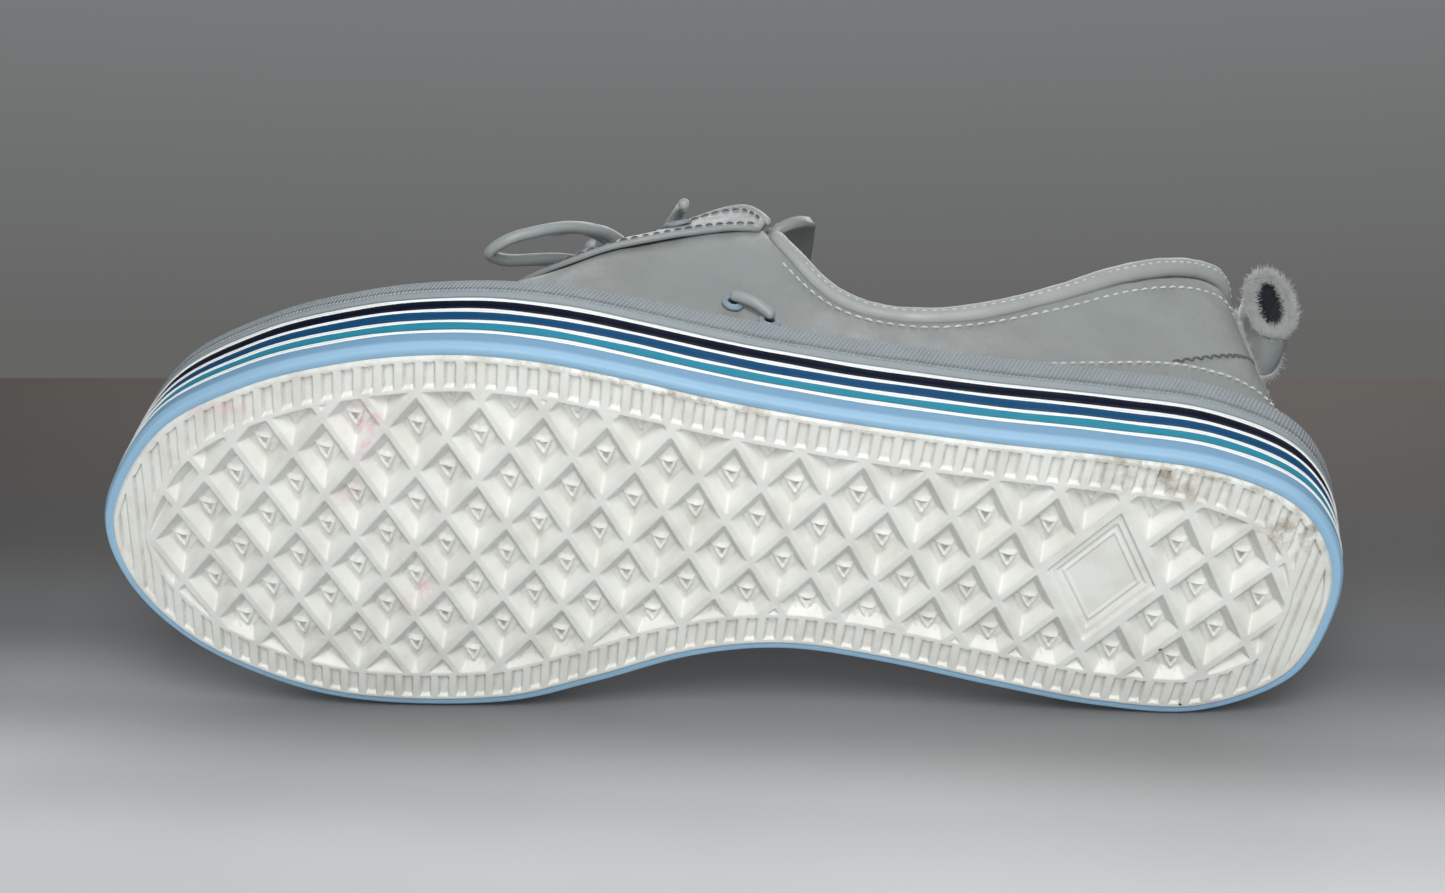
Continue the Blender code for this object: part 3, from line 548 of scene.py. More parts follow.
def copies(name, points, rings, sides, mat, body):
    """Many small closed bars as one mesh; the points go bar by bar, ring by ring."""
    last = (rings - 1) * sides
    local = grid_faces(rings, sides, wrap_columns=True)
    local += [list(range(sides))[::-1], list(range(last, last + sides))]
    faces = [[index + n * rings * sides for index in face] for n in range(len(points)) for face in local]
    mesh_object(name, points, faces, mat, body=body)


def skin_stitches(name, positions, shares, lift, pitch=2.7, length=2.0, radius=0.28, **options):
    path, normals = lifted(positions, shares, lift), skin_normal(positions, shares)
    stitches(name, path, normals, pitch, length, radius, **options)


# ---- outsole
def outline_distance(points, loop):
    """Distance from each point to a closed loop, in the plane."""
    best = np.full(len(points), 1e9)
    for a, b in zip(loop, np.roll(loop, -1, axis=0)):
        d = b - a
        t = np.clip(((points - a) @ d) / (d @ d), 0, 1)
        best = np.minimum(best, np.linalg.norm(points - a - t[:, None] * d, axis=1))
    return best


def blob(points, centre, size):
    return np.exp(-(((points - centre) / size) ** 2).sum(-1))


def spread(loop, rows, columns):
    """Rows of points across the inside of a closed outline, closer together near its ends."""
    low, high = loop[:, 1].min(), loop[:, 1].max()
    angle = np.linspace(0.012, math.pi - 0.012, rows)
    y = (low + high) / 2 + (high - low) / 2 * (0.75 * np.linspace(-0.9999, 0.9999, rows) - 0.25 * np.cos(angle))
    left, right = np.full(rows, 1e9), np.full(rows, -1e9)
    for a, b in zip(loop, np.roll(loop, -1, axis=0)):
        if a[1] == b[1]:
            continue
        t = (y - a[1]) / (b[1] - a[1])
        x = np.where((t >= 0) & (t <= 1), a[0] + (b[0] - a[0]) * t, np.nan)
        left, right = np.fmin(left, x), np.fmax(right, x)
    u = 0.5 - 0.5 * np.cos(np.linspace(0, math.pi, columns))
    u = 0.35 * u + 0.65 * np.linspace(0, 1, columns)
    x = left[:, None] + (right - left)[:, None] * u[None, :]
    return np.stack([x, np.broadcast_to(y[:, None], x.shape)], -1).reshape(-1, 2)


def outsole():
    """The ground side as a height field: rim, slots, clipped lattice, studs and the stepped plaque."""
    loop = edge_point(np.arange(COUNT * 8) / 8, -OUTSOLE_INSET)
    rows, columns = (1100, 300) if FINE else (420, 120)
    flat = spread(loop, rows, columns)
    border = outline_distance(flat, loop)
    along = (flat[:, 0] - CELL_ORIGIN[0]) / CELL_WIDTH
    across = (flat[:, 1] - CELL_ORIGIN[1]) / CELL_LENGTH
    a, b = along + across, along - across
    inside = 1 - 2 * np.maximum(np.abs(a - np.round(a)), np.abs(b - np.round(b)))
    from_rib = inside * 0.5 / math.hypot(1 / CELL_LENGTH, 1 / CELL_WIDTH)
    walls = np.clip((from_rib - RIB_HALF) / WALL_RUN, 0, 1)
    dome = smoothstep(RIB_HALF + WALL_RUN, 6.0, from_rib) * 0.6

    # the stud in the middle of each cell: a small triangle with a hollow
    centre_a, centre_b = np.round(a), np.round(b)
    dx = (along - (centre_a + centre_b) / 2) * CELL_WIDTH
    dy = (across - (centre_a - centre_b) / 2) * CELL_LENGTH
    height, sideways = dx - 0.4, dy + 0.2 * dx
    wedge = np.maximum(height, 0.78 * np.abs(sideways) * 1.35 - 0.5 * height)
    nub = 0.95 * smoothstep(1.75, 1.5, wedge) - 0.75 * smoothstep(1.0, 0.75, wedge)
    depth = TREAD_DEPTH * walls - dome - nub
    field = border - RIM_WIDTH
    depth = np.minimum(depth, np.clip(field + 0.5, 0, None) * 1.6)

    plaque = np.abs(along) + np.abs(across - PLAQUE_ROW)
    step = 0.0
    for drop, low, high in ((0.75, 0.86, 0.83), (0.6, 0.71, 0.685), (-0.35, 0.62, 0.60), (0.35, 0.57, 0.55)):
        step = step + drop * smoothstep(low, high, plaque)
    depth = np.where(plaque < PLAQUE_SIZE, step, depth)

    phase = np.abs((flat[:, 1] / SLOT_PITCH) - np.round(flat[:, 1] / SLOT_PITCH)) * SLOT_PITCH
    band = np.minimum(border - 1.5, 8.0 - border)
    slot = smoothstep(1.25, 1.0, phase) * smoothstep(0.0, 0.3, band)
    groove = smoothstep(0.34, 0.1, np.abs(phase - 1.0)) * smoothstep(-0.25, 0.1, band)
    depth = np.maximum(depth, slot * 0.75 + groove * 0.5)
    edge = 0.55 * smoothstep(0.75, 0.0, border) ** 2
    wear = flat_noise(flat, 9.0, 3) * 0.05
    top = np.column_stack([flat, np.clip(depth + edge + 0.05 + wear, 0.0, None)])
    ring = rim_indices(rows, columns)
    skirt = top[ring] * (1, 1, 0) + (0, 0, SKIRT_LEVEL)

    # where the painted shade and the dirt sit: painted shade in the recesses, slots and stud hollows, and grime, pink
    # stains and specks
    cell = plaque > PLAQUE_SIZE
    # painted shade: darker grey near the rib walls, in the slots and in the stud hollows
    painted_hollow_shade = smoothstep(0.5, 0.0, np.abs(from_rib - 3.1)) * cell * (field > 0.5) * 0.35
    slots = smoothstep(0.4, 0.1, np.abs(phase - 1.05)) * smoothstep(-0.2, 0.2, band) * 0.4
    studs = smoothstep(0.85, 0.6, wedge) * (walls >= 1) * cell * (field > 2.5) * 0.9
    painted_hollow_shade = np.maximum(np.maximum(painted_hollow_shade, slots), studs)
    rim = smoothstep(2.6, 0.2, border)
    lateral = smoothstep(0, 20, flat[:, 0] - 20)
    grime = rim * (blob(flat, (52, -18), (10, 26)) + 0.7 * blob(flat, (50, 105), (16, 30)) + 0.3 * lateral)
    grime += 0.9 * blob(flat, (49, 96), (5, 12)) + 0.95 * blob(flat, (41, 127), (5, 9))
    grime += 0.5 * rim * blob(flat, (-8, 122), (9, 16))
    pink = sum(share * blob(flat, centre, size) for share, centre, size in (
        (0.9, (30, -119), (3, 12)), (0.9, (30, -79), (7, 5)), (1.0, (-17, -65), (3, 3)), (0.5, (8, -84), (4, 3))))
    ragged = 1 + 0.8 * flat_noise(flat, 0.9, 5)
    speck = ragged * sum(blob(flat, centre, (size, size * 1.3)) for centre, size in (
        ((-4.5, 136), 0.8), ((-6.5, 133.5), 1.1), ((-8.6, 131), 0.7), ((-13.8, 116.5), 0.4), ((2.1, 108), 0.5),
        ((0.9, 106.6), 0.35), ((3.4, 109.8), 0.3), ((-11, 127), 0.4)))
    marks = {"painted_hollow_shade": painted_hollow_shade, "grime": grime, "pink": pink, "speck": smoothstep(0.45, 0.7, speck)}
    for key, values in marks.items():
        values = np.clip(values, 0, 1)
        marks[key] = np.concatenate([values, values[ring] * 0.5])
    mesh_object("tread_sole", np.concatenate([top, skirt]), slab_faces(rows, columns, down=True), "outsole",
                replaces=["outsole"], slot="white_rubber", attributes=marks)


# ---- foxing
def foxing_top(y):
    return TEXTURED_START + 2.9 + 3.0 * smoothstep(-75.0, 15.0, y)


def wave(level, position):
    """How far a hand-laid strip's edge strays from its level."""
    return 0.1 * np.sin(position * 1.9 + level * 2.1) + 0.07 * np.sin(position * 5.3 + level * 4.7)


def strip(name, node, low, high, proud, mat, slot, corner, foot, seed, inner=-2.7):
    """One strip of the sidewall, all round the shoe, with rounded edges."""
    position = np.arange(COUNT * 12) / 12
    wall = edge_point(position)
    bottom = low + wave(round(low), position) * (low > 2)
    top = high(wall[:, 1]) if callable(high) else high + wave(round(high), position)
    tuck = -1.2 if inner < -3 else 0.0
    rows = []
    for share, out, drop in ((0, inner, 0.0), (0, -corner - foot, 0.0),
                             (0, -corner * 0.3 - foot * 0.8, corner * 0.3), (0, -foot * 0.6, corner + foot * 0.4),
                             (0, 0.0, corner + foot * 1.3), (0.3, 0.06, 0.0), (0.5, 0.09, 0.0), (0.7, 0.06, 0.0),
                             (1, 0.0, -corner), (1, -corner * 0.3, -corner * 0.3), (1, -corner, 0.0),
                             (1, inner, tuck)):
        z = bottom + (top - bottom) * share + drop
        offset = out + (1.5 * np.minimum(z, 28.0) / 30.0 + proud if out > inner else 0.0)
        rows.append(np.column_stack([edge_point(position, offset), z]))
    points = np.array(rows)
    dent = noise3(points, 14.0, seed) * 0.06
    points[..., :2] += unit(wall) * dent[..., None]
    steps = np.linalg.norm(np.diff(wall, axis=0), axis=1)
    travel = np.broadcast_to(np.concatenate([[0], np.cumsum(steps)]), points.shape[:2])
    faces = [face[::-1] for face in grid_faces(len(rows), len(position), wrap_rows=True, wrap_columns=True)]
    mesh_object(name, points, faces, mat, replaces=[node], slot=slot, attributes={"travel": travel})


def foxing():
    bands = (("sky", 0.7, 5.6, 0.8, -3.4), ("teal", 6.55, 9.45, 0.0, -2.7), ("blue", 10.4, 13.6, 0.0, -2.7),
             ("navy", 14.55, 17.85, 0.0, -2.7))
    for number, (colour, low, high, foot, inner) in enumerate(bands, 1):
        strip(f"{colour}_strip", f"foxing_{colour}_band", low, high, 0.0, colour, f"{colour}_rubber", 0.2, foot,
              number, inner)
        strip(f"white_line_{number}", f"foxing_pinstripe_{number}", high, high + PINSTRIPE_HEIGHT, 0.16, "stripe",
              "stripe_rubber", 0.22, 0.0, number + 9)
    strip("smooth_strip", "foxing_smooth_band", 18.8, 21.9, 0.0, "smooth", "smooth_rubber", 0.35, 0.0, 21)
    strip("textured_strip", "foxing_textured_band", 22.0, foxing_top, 0.12, "textured", "textured_rubber", 0.6,
          0.0, 22, -6.8)


# ---- upper
TOE_SEAMS = (12.6, 17.4)


def eyestay_low(middle, half):
    return lambda position: 0.62 + 0.28 * np.abs((position - middle) / half) ** 3


def overlay_high(base):
    return lambda position: 0.37 - 0.05 * np.cos(np.abs(position - base) * 0.7)


def upper():
    lateral, medial = (0.0, TOE_SEAMS[0]), (TOE_SEAMS[1], COUNT)
    outer = (("vamp", (TOE_SEAMS[0] - 0.12, TOE_SEAMS[1] + 0.12), 1.0, -0.2, (90, 30) if FINE else (50, 16), 0.7, 3,
              ["vamp", "toe_puff"]),
             ("lateral_quarter", (lateral[0] + 0.01, lateral[1] + 0.04), 0.94, 0.15, (150, 34), 0.55, 5,
              ["quarter_lateral", "heel_counter"]),
             ("medial_quarter", (medial[0] - 0.04, medial[1] - 0.01), 0.94, 0.15, (150, 34), 0.55, 6,
              ["quarter_medial"]))
    for name, span, high, lift, counts, crease, seed, nodes in outer:
        panel(f"{name}_leather", span, 0.0, high, lift, 1.4, "leather", counts, crease, seed, replaces=nodes,
              slot="grey_leather")
    linings = (("vamp", TOE_SEAMS, 0.93, (40, 16), 0.5, 8, "vamp_lining"),
               ("lateral", lateral, 0.95, (110, 24), 0.9, 9, "quarter_lining_lateral"),
               ("medial", medial, 0.95, (110, 24), 0.9, 10, "quarter_lining_medial"))
    for name, span, high, counts, crease, seed, node in linings:
        panel(f"{name}_inner", span, 0.04, high, LINING_LIFT + 0.3, 0.9, "lining", counts, crease, seed,
              replaces=[node], slot="lining_fabric")
    for side, span, seed in (("lateral", (8.5, 12.4), 12), ("medial", (17.6, 21.6), 14)):
        low = eyestay_low(sum(span) / 2, (span[1] - span[0]) / 2)
        panel(f"{side}_eyestay_leather", span, low, 0.995, OVERLAY_LIFT, 1.3, "leather", (60, 24), 0.3, seed,
              replaces=[f"eyestay_{side}"], slot="grey_leather")
        position = np.linspace(span[0] + 0.1, span[1] - 0.12, 90)
        for row, share in (("lower", low(position) + 0.035), ("upper", 0.955)):
            # painted shade: the eyestay stitches are dark so that they read as shaded stitch holes
            skin_stitches(f"{side}_eyestay_{row}_stitches", position, share, OVERLAY_LIFT, mat="dark_thread_and_hole_shade")
        # painted highlight: the throat's rolled edge is in the paler copy of the grey leather
        tube(f"{side}_throat_rolled_edge", lifted(np.linspace(*span, 70), 1.0, 0.9), 1.15, "painted_highlight_leather", 10,
             slot="grey_leather")
    panel("backstay_strip", (-0.3, 0.3), 0.02, 0.93, OVERLAY_LIFT, 1.3, "fuzz", (16, 60), 0.3, 16,
          replaces=["backstay"], slot="raw_edge_leather")
    for side, shift, base, seam in (("lateral", 1, 0.0, TOE_SEAMS[0]), ("medial", -1, COUNT, TOE_SEAMS[1])):
        skin_stitches(f"{side}_backstay_stitches", base + shift * 0.2, np.linspace(0.04, 0.9, 60), OVERLAY_LIFT,
                      2.4, 1.7)
        for row, gap in enumerate((0.06, 0.17)):
            skin_stitches(f"{side}_toe_seam_stitches_{row}", seam - shift * gap, np.linspace(0.03, 0.86, 90), 0.15)
        position = base + shift * np.linspace(0.5, 8.0, 200)
        skin_stitches(f"{side}_collar_stitches", position, 0.875, 0.15)
        travel = np.linspace(0.35, 3.4, 130)
        skin_stitches(f"{side}_heel_zigzag", base + shift * travel, 0.72 - 0.1 * travel, 0.15, 1.5, 2.0,
                      zigzag=0.8, mat="dark_thread_and_hole_shade")
        span = (0.5, 7.0) if shift > 0 else (COUNT - 7.0, COUNT - 0.5)
        high = overlay_high(base)
        panel(f"{side}_lower_overlay", span, 0.02, high, 1.15, 1.0, "leather", (80, 10), 0.25, 19 + shift)
        position = np.linspace(span[0] + 0.1, span[1] - 0.1, 160)
        skin_stitches(f"{side}_lower_overlay_stitches", position, high(position) - 0.025, 1.15, 2.2, 1.6)


def collar():
    """The padded roll round the topline, with the stitches that hold it."""
    position = np.linspace(21.9 - COUNT, 8.2, 260 if FINE else 130)
    path = lifted(position, 1.0, -0.8)
    swell = 1 + 0.06 * noise3(path, 7.0, 31) + 0.03 * noise3(path, 2.5, 32)
    # painted highlight: the collar roll is in the paler copy of the grey leather
    roll = tube("collar_padding", path, 2.45 * swell, "painted_highlight_leather", 18, replaces=["collar_roll"], slot="grey_leather")
    skin_stitches("collar_top_stitches", position[6:-6], 0.992, 1.3, 2.4, 1.7, 0.25)


# ---- tongue
TONGUE_LIFT = -5.8
TONGUE_PAIRS = ((12.0, 18.0), (11.0, 19.0), (10.0, 20.0), (9.3, 20.7))
TONGUE_MIDDLE = 17.7
TONGUE_TOP_ROWS = ((-2.5, 89.5, 10.5), (1.0, 93.0, 14.0), (5.0, 97.5, 18.0), (9.0, 102.0, 19.5), (12.0, 106.0, 17.0))


def grid_normals(points):
    return unit(np.cross(np.gradient(points, axis=1), np.gradient(points, axis=0)))


def refined(points, rows, columns):
    """A smooth finer grid through a coarse one."""
    along = np.array([open_curve(points[:, k], 12) for k in range(points.shape[1])]).transpose(1, 0, 2)
    across = np.array([open_curve(row, 8) for row in along])
    i = np.round(np.linspace(0, across.shape[0] - 1, rows)).astype(int)
    j = np.round(np.linspace(0, across.shape[1] - 1, columns)).astype(int)
    return across[i][:, j]


def flap_row(y, z, half, shares, lift=0.0):
    """A row of points across the arched tongue top."""
    return [(TONGUE_MIDDLE + half * a, y, z + lift - 0.02 * (half * a) ** 2) for a in shares]


def tongue():
    sections = []
    for lateral, medial in TONGUE_PAIRS:
        places = ((medial, 0.8), (medial, 0.97), (lateral, 0.97), (lateral, 0.8))
        corners = [lifted(station, share, TONGUE_LIFT) for station, share in places]
        crest = (corners[1] + corners[2]) / 2 + (0, 0, 2.0)
        sections.append([*corners[:2], (corners[1] + crest) / 2, crest, (corners[2] + crest) / 2, *corners[2:]])
    first = np.array(sections[0])
    tucked = first[3] + (first - first[3]) * 0.8 + (-1.0, -13.0, -8.5)
    base = refined(np.array([tucked, *sections]), 40, 34)
    normals = grid_normals(base)
    shell("tongue_front", creased(base, normals, 0.5, 41), normals, 2.8, "leather", replaces=["tongue_base"],
          slot="grey_leather")

    top = refined(np.array([flap_row(*row, np.linspace(-1, 1, 9)) for row in TONGUE_TOP_ROWS]), 30, 40)
    normals = grid_normals(top)
    flap = shell("tongue_flap_leather", creased(top, normals, 0.4, 43), normals, 2.8, "leather", body="tongue_flap",
                 replaces=["tongue_top"], slot="grey_leather")
    ring, ring_normals = (np.concatenate([g[2:28, 2], g[27, 3:37], g[2:28, 37][::-1]]) for g in (top, normals))
    stitches("tongue_edge_stitches", ring, ring_normals, 2.4, 1.7, 0.26, body="tongue_flap")

    label = [flap_row(*row, np.linspace(0.15, 0.75, 5), 1.0) for row in TONGUE_TOP_ROWS[2:4]]
    label = refined(np.array(label), 13, 30)
    normals = grid_normals(label)
    shell("tongue_patch", label, normals, 0.7, "label", body="tongue_flap", replaces=["tongue_label"],
          slot="label_weave")
    ring, ring_normals = (np.concatenate([g[1, 1:29], g[2:12, 28], g[11, 1:28][::-1], g[2:11, 1][::-1]])
                          for g in (label, normals))
    stitches("tongue_patch_stitches", ring, ring_normals, 1.5, 1.1, 0.16, "dark_thread_and_hole_shade", body="tongue_flap")


# ---- eyelets and laces
EYELETS = (("eyelet_lateral_rear", 9.7), ("eyelet_lateral_front", 11.05), ("eyelet_medial_rear", 20.3),
           ("eyelet_medial_front", 18.95))
SIDE_LACES = (("lateral", 8.15, 7.6), ("medial", 22.1, 22.6))
SIDE_SHARE = 0.42


def ring(name, position, share, lift, radius, hole, mat):
    """A turned ring with a rolled lip, on the upper, and a dark disc in its hole as painted shade."""
    sides, height = 40, 0.9
    normal = Vector(skin_normal(np.array(position), np.array(share)))
    centre = np.array(lifted(position, share, lift))
    turn = np.array(normal.to_track_quat("Z", "Y").to_matrix())
    angles = around(sides)

    def turned(profile):
        return np.array([np.column_stack([r * np.cos(angles), r * np.sin(angles), np.full(sides, h)]) @ turn.T + centre
                         for r, h in profile])

    def arc(x, z, size, start, end):
        return [(x + size * math.cos(a), z + size * math.sin(a)) for a in np.linspace(start, end, 5)]

    profile = [(radius, -0.1), *arc(radius - 0.35, height * 0.45, 0.35, 0, 1.4),
               (hole + (radius - hole) * 0.45, height * 0.62), (hole + 0.5, height * 0.95),
               *arc(hole + 0.25, height * 0.8, 0.25, 1.2, 3.1), (hole, -0.1)]
    faces = [f[::-1] for f in grid_faces(len(profile), sides, wrap_rows=True, wrap_columns=True)]
    mesh_object(f"{name}_ring", turned(profile), faces, mat, replaces=[name], slot="eyelet_plastic")
    # painted shade: a dark disc closes the hole
    disc = turned([(hole * 1.02 * k / 3, -0.05 * (3 - k)) for k in (3, 2, 1)])
    faces = grid_faces(3, sides, wrap_columns=True) + [list(range(2 * sides, 3 * sides))]
    mesh_object(f"{name}_ring_hole_shade_disc", disc, faces, "painted_hollow_shade")


LACES = {
    "lace_crossbar": ((29, -41, 77.5), (24, -41.5, 80.8), (18, -42, 82.3), (10, -42.5, 83.2),
                      (2, -43, 83.2), (-4, -43.5, 82), (-9, -44, 79.5)),
    "lace_run_lateral": ((39.2, -19.2, 83.8), (34.8, -20, 89.4), (29.5, -21.6, 93), (23.5, -24.3, 93.6),
                         (18.4, -26.8, 92.4)),
    "lace_run_medial": ((-9.8, -18.5, 84.5), (-5.5, -19.5, 88.7), (-1, -22, 91), (4, -26, 91.2)),
    "lace_loop_lateral": ((17.2, -31, 91.5), (21, -33.5, 91), (26, -37.5, 87), (31, -42, 81.5),
                          (36, -47.5, 75.5), (40, -54, 69), (41.5, -60, 64.5), (38.5, -64.5, 63.5),
                          (33.5, -62, 67.5), (28.5, -56, 74), (23, -48.5, 82), (17.5, -40, 88.5),
                          (14, -34.6, 90.2)),
    "lace_loop_medial": ((4.6, -31, 91.5), (2, -34.5, 93.5), (-2, -39, 96), (-8, -46, 96),
                         (-13, -53, 91), (-14, -58, 84), (-10, -59.5, 80), (-4.5, -55, 82),
                         (0.5, -48.5, 86.5), (4.5, -41, 89.5), (7.5, -35, 90)),
    "lace_tail_lateral": ((12.5, -31.5, 96), (17, -35.5, 97), (22, -40.5, 95), (27, -46, 89.5),
                          (31, -51, 82.5)),
    "lace_tail_medial": ((8.5, -30.5, 96), (4, -32, 98), (-2, -33.5, 98), (-8, -35, 93),
                         (-12, -37, 86.5), (-14.5, -39.5, 80.5)),
}


def lace(name, far_end=None):
    path = open_curve(LACES[name], 8)
    obj = tube(f"{name}_leather", path, 1.5, "lace", 16, replaces=[name], slot="lace_leather")
    if far_end:
        path = settle(path)


def laces():
    for name, position in EYELETS:
        ring(name, position, 0.82, OVERLAY_LIFT + 0.3, 3.4, 1.7, "eyelet")
    for side, front, rear in SIDE_LACES:
        ring(f"side_eyelet_{side}_front", front, SIDE_SHARE, 0.5, 2.6, 1.3, "side_metal")
        ring(f"side_eyelet_{side}_rear", rear, SIDE_SHARE, 0.5, 2.6, 1.3, "side_metal")
    for name in ("lace_crossbar", "lace_run_lateral", "lace_run_medial"):
        lace(name)
    for side in ("lateral", "medial"):
        lace(f"lace_loop_{side}", "object")
        lace(f"lace_tail_{side}", "bare")
    centre = np.array((11.0, -28.0, 90.5))
    t = np.linspace(0, math.tau, 90)
    wrap = centre + np.column_stack([4.3 * np.cos(t), 2.7 * np.sin(2 * t) * 0.55, 2.6 * np.sin(t)])
    tube("lace_knot_wraps", wrap, 1.45, "lace", 12, replaces=["lace_knot"], slot="lace_leather")
    cross = centre + np.array([(-2.2, -3.0, -1.0), (-1.6, -2.6, 1.4), (0.0, -0.6, 2.9), (1.6, 1.8, 1.6),
                               (2.2, 2.8, -0.8)])
    tube("lace_knot_cross", open_curve(cross, 8), 1.45, "lace", 12, slot="lace_leather")
    share = np.linspace(0, 1, 5)
    for side, front, rear in SIDE_LACES:
        path = lifted(front + (rear - front) * share, SIDE_SHARE, 2.6 + 0.9 * np.sin(share * math.pi))
        tube(f"side_lace_{side}_leather", open_curve(path, 6), 1.2, "lace", 12, replaces=[f"side_lace_{side}"],
             slot="lace_leather")


# ---- heel loop
def fibres(name, roots, directions, length, body, radius):
    """Short loose fibres that stand out of a raw edge."""
    count = len(roots)
    curl = unit(RNG.normal(size=(count, 3)))
    reach = length * RNG.uniform(0.3, 1.0, count)[:, None]
    bend = roots + directions * reach * 0.5 + curl * reach * 0.15
    tip = roots + directions * reach * 0.85 + curl * reach * 0.6
    side = unit(np.cross(directions, curl)) * radius
    other = unit(np.cross(directions, side)) * radius
    points = []
    for centre, size in ((roots, 1.0), (bend, 0.8), (tip, 0.25)):
        for angle in around(3):
            points.append(centre + (side * math.cos(angle) + other * math.sin(angle)) * size)
    copies(name, np.stack(points, 1), 3, 3, "fuzz", body)


def heel_loop():
    low, high = (np.array(corner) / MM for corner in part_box("pull_loop"))
    centre, half = (low + high) / 2, (high - low) / 2
    count, across, wall, shade_sleeve_rows = 96, 18, 1.9, 9

    def hoop(x, y_radius, z_radius, turn):
        return centre + np.column_stack([x + 0 * turn, y_radius * np.cos(turn), z_radius * np.sin(turn)])

    angle = around(count)
    width = np.linspace(-1, 1, across)
    rows = []
    for w in width:
        belly = 0.25 * (1 - w * w) - 0.25
        rows.append(hoop(w * (half[0] - 0.2), half[1] + belly, half[2] + belly, angle))
    for w in width[::-1]:
        rows.append(hoop(w * (half[0] - 0.2), half[1] - wall, half[2] - wall, angle))
    points = np.array(rows)
    points += noise3(points, 3.0, 51)[..., None] * unit(points - centre) * 0.25
    faces = grid_faces(len(rows), count, wrap_rows=True, wrap_columns=True)
    mesh_object("heel_loop_strap", points, faces, "leather", body="heel_loop", replaces=["pull_loop"],
                slot="raw_edge_leather")
    # painted shade: a dark sleeve inside the loop darkens its hollow
    sleeve = [hoop(w * (half[0] - 0.6), half[1] - 2.05, half[2] - 2.05, angle) for w in np.linspace(-1, 1, shade_sleeve_rows)]
    mesh_object("heel_loop_shade_sleeve", np.array(sleeve), grid_faces(shade_sleeve_rows, count, wrap_columns=True), "painted_hollow_shade",
                body="heel_loop")
    amount = 6500 if FINE else 900
    for side, name in ((1, "lateral"), (-1, "medial")):
        turn = RNG.uniform(0, math.tau, amount)
        depth = RNG.uniform(-0.1, 2.0, amount)
        roots = hoop(side * (half[0] - 0.35), half[1] - depth, half[2] - depth, turn)
        outward = np.column_stack([np.full(amount, side * 1.0), RNG.normal(0, 0.8, amount), RNG.normal(0, 0.8, amount)])
        inward = np.column_stack([0 * turn, -np.cos(turn), -np.sin(turn)]) * np.clip(depth - 1.0, 0, 1)[:, None]
        fibres(f"heel_loop_fuzz_{name}", roots, unit(outward + inward * 2.5), 2.3, "heel_loop", 0.07)
    for name, base, sign in (("lateral", 0.3, 1), ("medial", COUNT - 0.3, -1)):
        share = RNG.uniform(0.03, 0.93, amount)
        roots = lifted(base, share, 1.2 + RNG.uniform(-0.6, 0.6, amount))
        away = unit(lifted(base + 0.05 * sign, share, 1.0) - lifted(base, share, 1.0))
        mixed = unit(away + skin_normal(base, share) * RNG.uniform(-0.2, 1.0, amount)[:, None])
        fibres(f"backstay_fuzz_{name}", roots, mixed, 1.5, "shoe", 0.06)


def loose_thread():
    """A frayed end of thread at the toe seam, above the sidewall."""
    base = lifted(12.2, 0.12, 0.4)
    for k in range(7):
        drift = RNG.normal(0, 1.0, 3)
        points = [base, base + (1.2, -1.0, 1.6) + drift * 0.4, base + (2.0, -3.0, 2.2) + drift,
                  base + (2.6, -5.0, 2.0) + drift * 1.5]
        tube(f"frayed_thread_{k}", open_curve(np.array(points), 6), 0.13, "thread", 6)


def inside():
    """Two CAD pieces whose shape is right take a finer material; the footbed gets a worn, crowned top."""
    for node, mat in (("midsole_core", "foam"), ("insole_board", "board")):
        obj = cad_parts[node]
        obj.data.materials.clear()
        obj.data.materials.append(M[mat])
    low, high = (np.array(corner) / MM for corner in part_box("footbed"))
    loop = edge_point(np.arange(COUNT * 4) / 4, high[1] - EDGE[:, 1].max())
    rows, columns = 160, 60
    flat = spread(loop, rows, columns)
    border = outline_distance(flat, loop)
    worn = flat_noise(flat, 28.0, 61) * 0.35 + flat_noise(flat, 9.0, 62) * 0.12
    crown = high[2] - 0.5 - 1.1 * smoothstep(2.2, 0.0, border) + worn * smoothstep(0.0, 8.0, border)
    top = np.column_stack([flat, crown])
    skirt = top[rim_indices(rows, columns)] * (1, 1, 0) + (0, 0, low[2])
    bed = mesh_object("footbed_cushion", np.concatenate([top, skirt]), slab_faces(rows, columns), "lining",
                      replaces=["footbed"], slot="lining_fabric")


# ---- stage, light and camera
LENS = 46.08
CAMERA = Vector((0.2855, 0.0143, -0.3249))
RIGHT, UP = Vector((0.1048, 0.9875, 0.118)), Vector((0.792, -0.1546, 0.5907))
FLOOR_NORMAL = Vector((0.941, -0.199, 0.274)).normalized()
FLOOR_OFFSET = -0.0394
HORIZON = 378.0
IMAGE = (1445.0, 893.0)
FLOOR_REACH = (1.5, 2.0)
# painted shade: the floor's colour at image rows, darkening towards the far edge as light falloff
PAINTED_FLOOR_FALLOFF = ((HORIZON, (0.2, 0.172, 0.15)), (540.0, (0.17, 0.16, 0.155)), (640.0, (0.24, 0.24, 0.24)),
           (720.0, (0.5, 0.5, 0.5)), (800.0, (0.82, 0.83, 0.83)), (890.0, (1.0, 1.0, 1.0)))


def camera():
    back = RIGHT.cross(UP).normalized()
    right, up = RIGHT.normalized(), back.cross(RIGHT).normalized()
    data = bpy.data.cameras.new("camera")
    data.lens = LENS
    data.sensor_width = SENSOR
    obj = bpy.data.objects.new("camera", data)
    bpy.context.scene.collection.objects.link(obj)
    obj.matrix_world = Matrix.Translation(CAMERA) @ Matrix((right, up, back)).transposed().to_4x4()
    bpy.context.scene.camera = obj
    return right, up, back


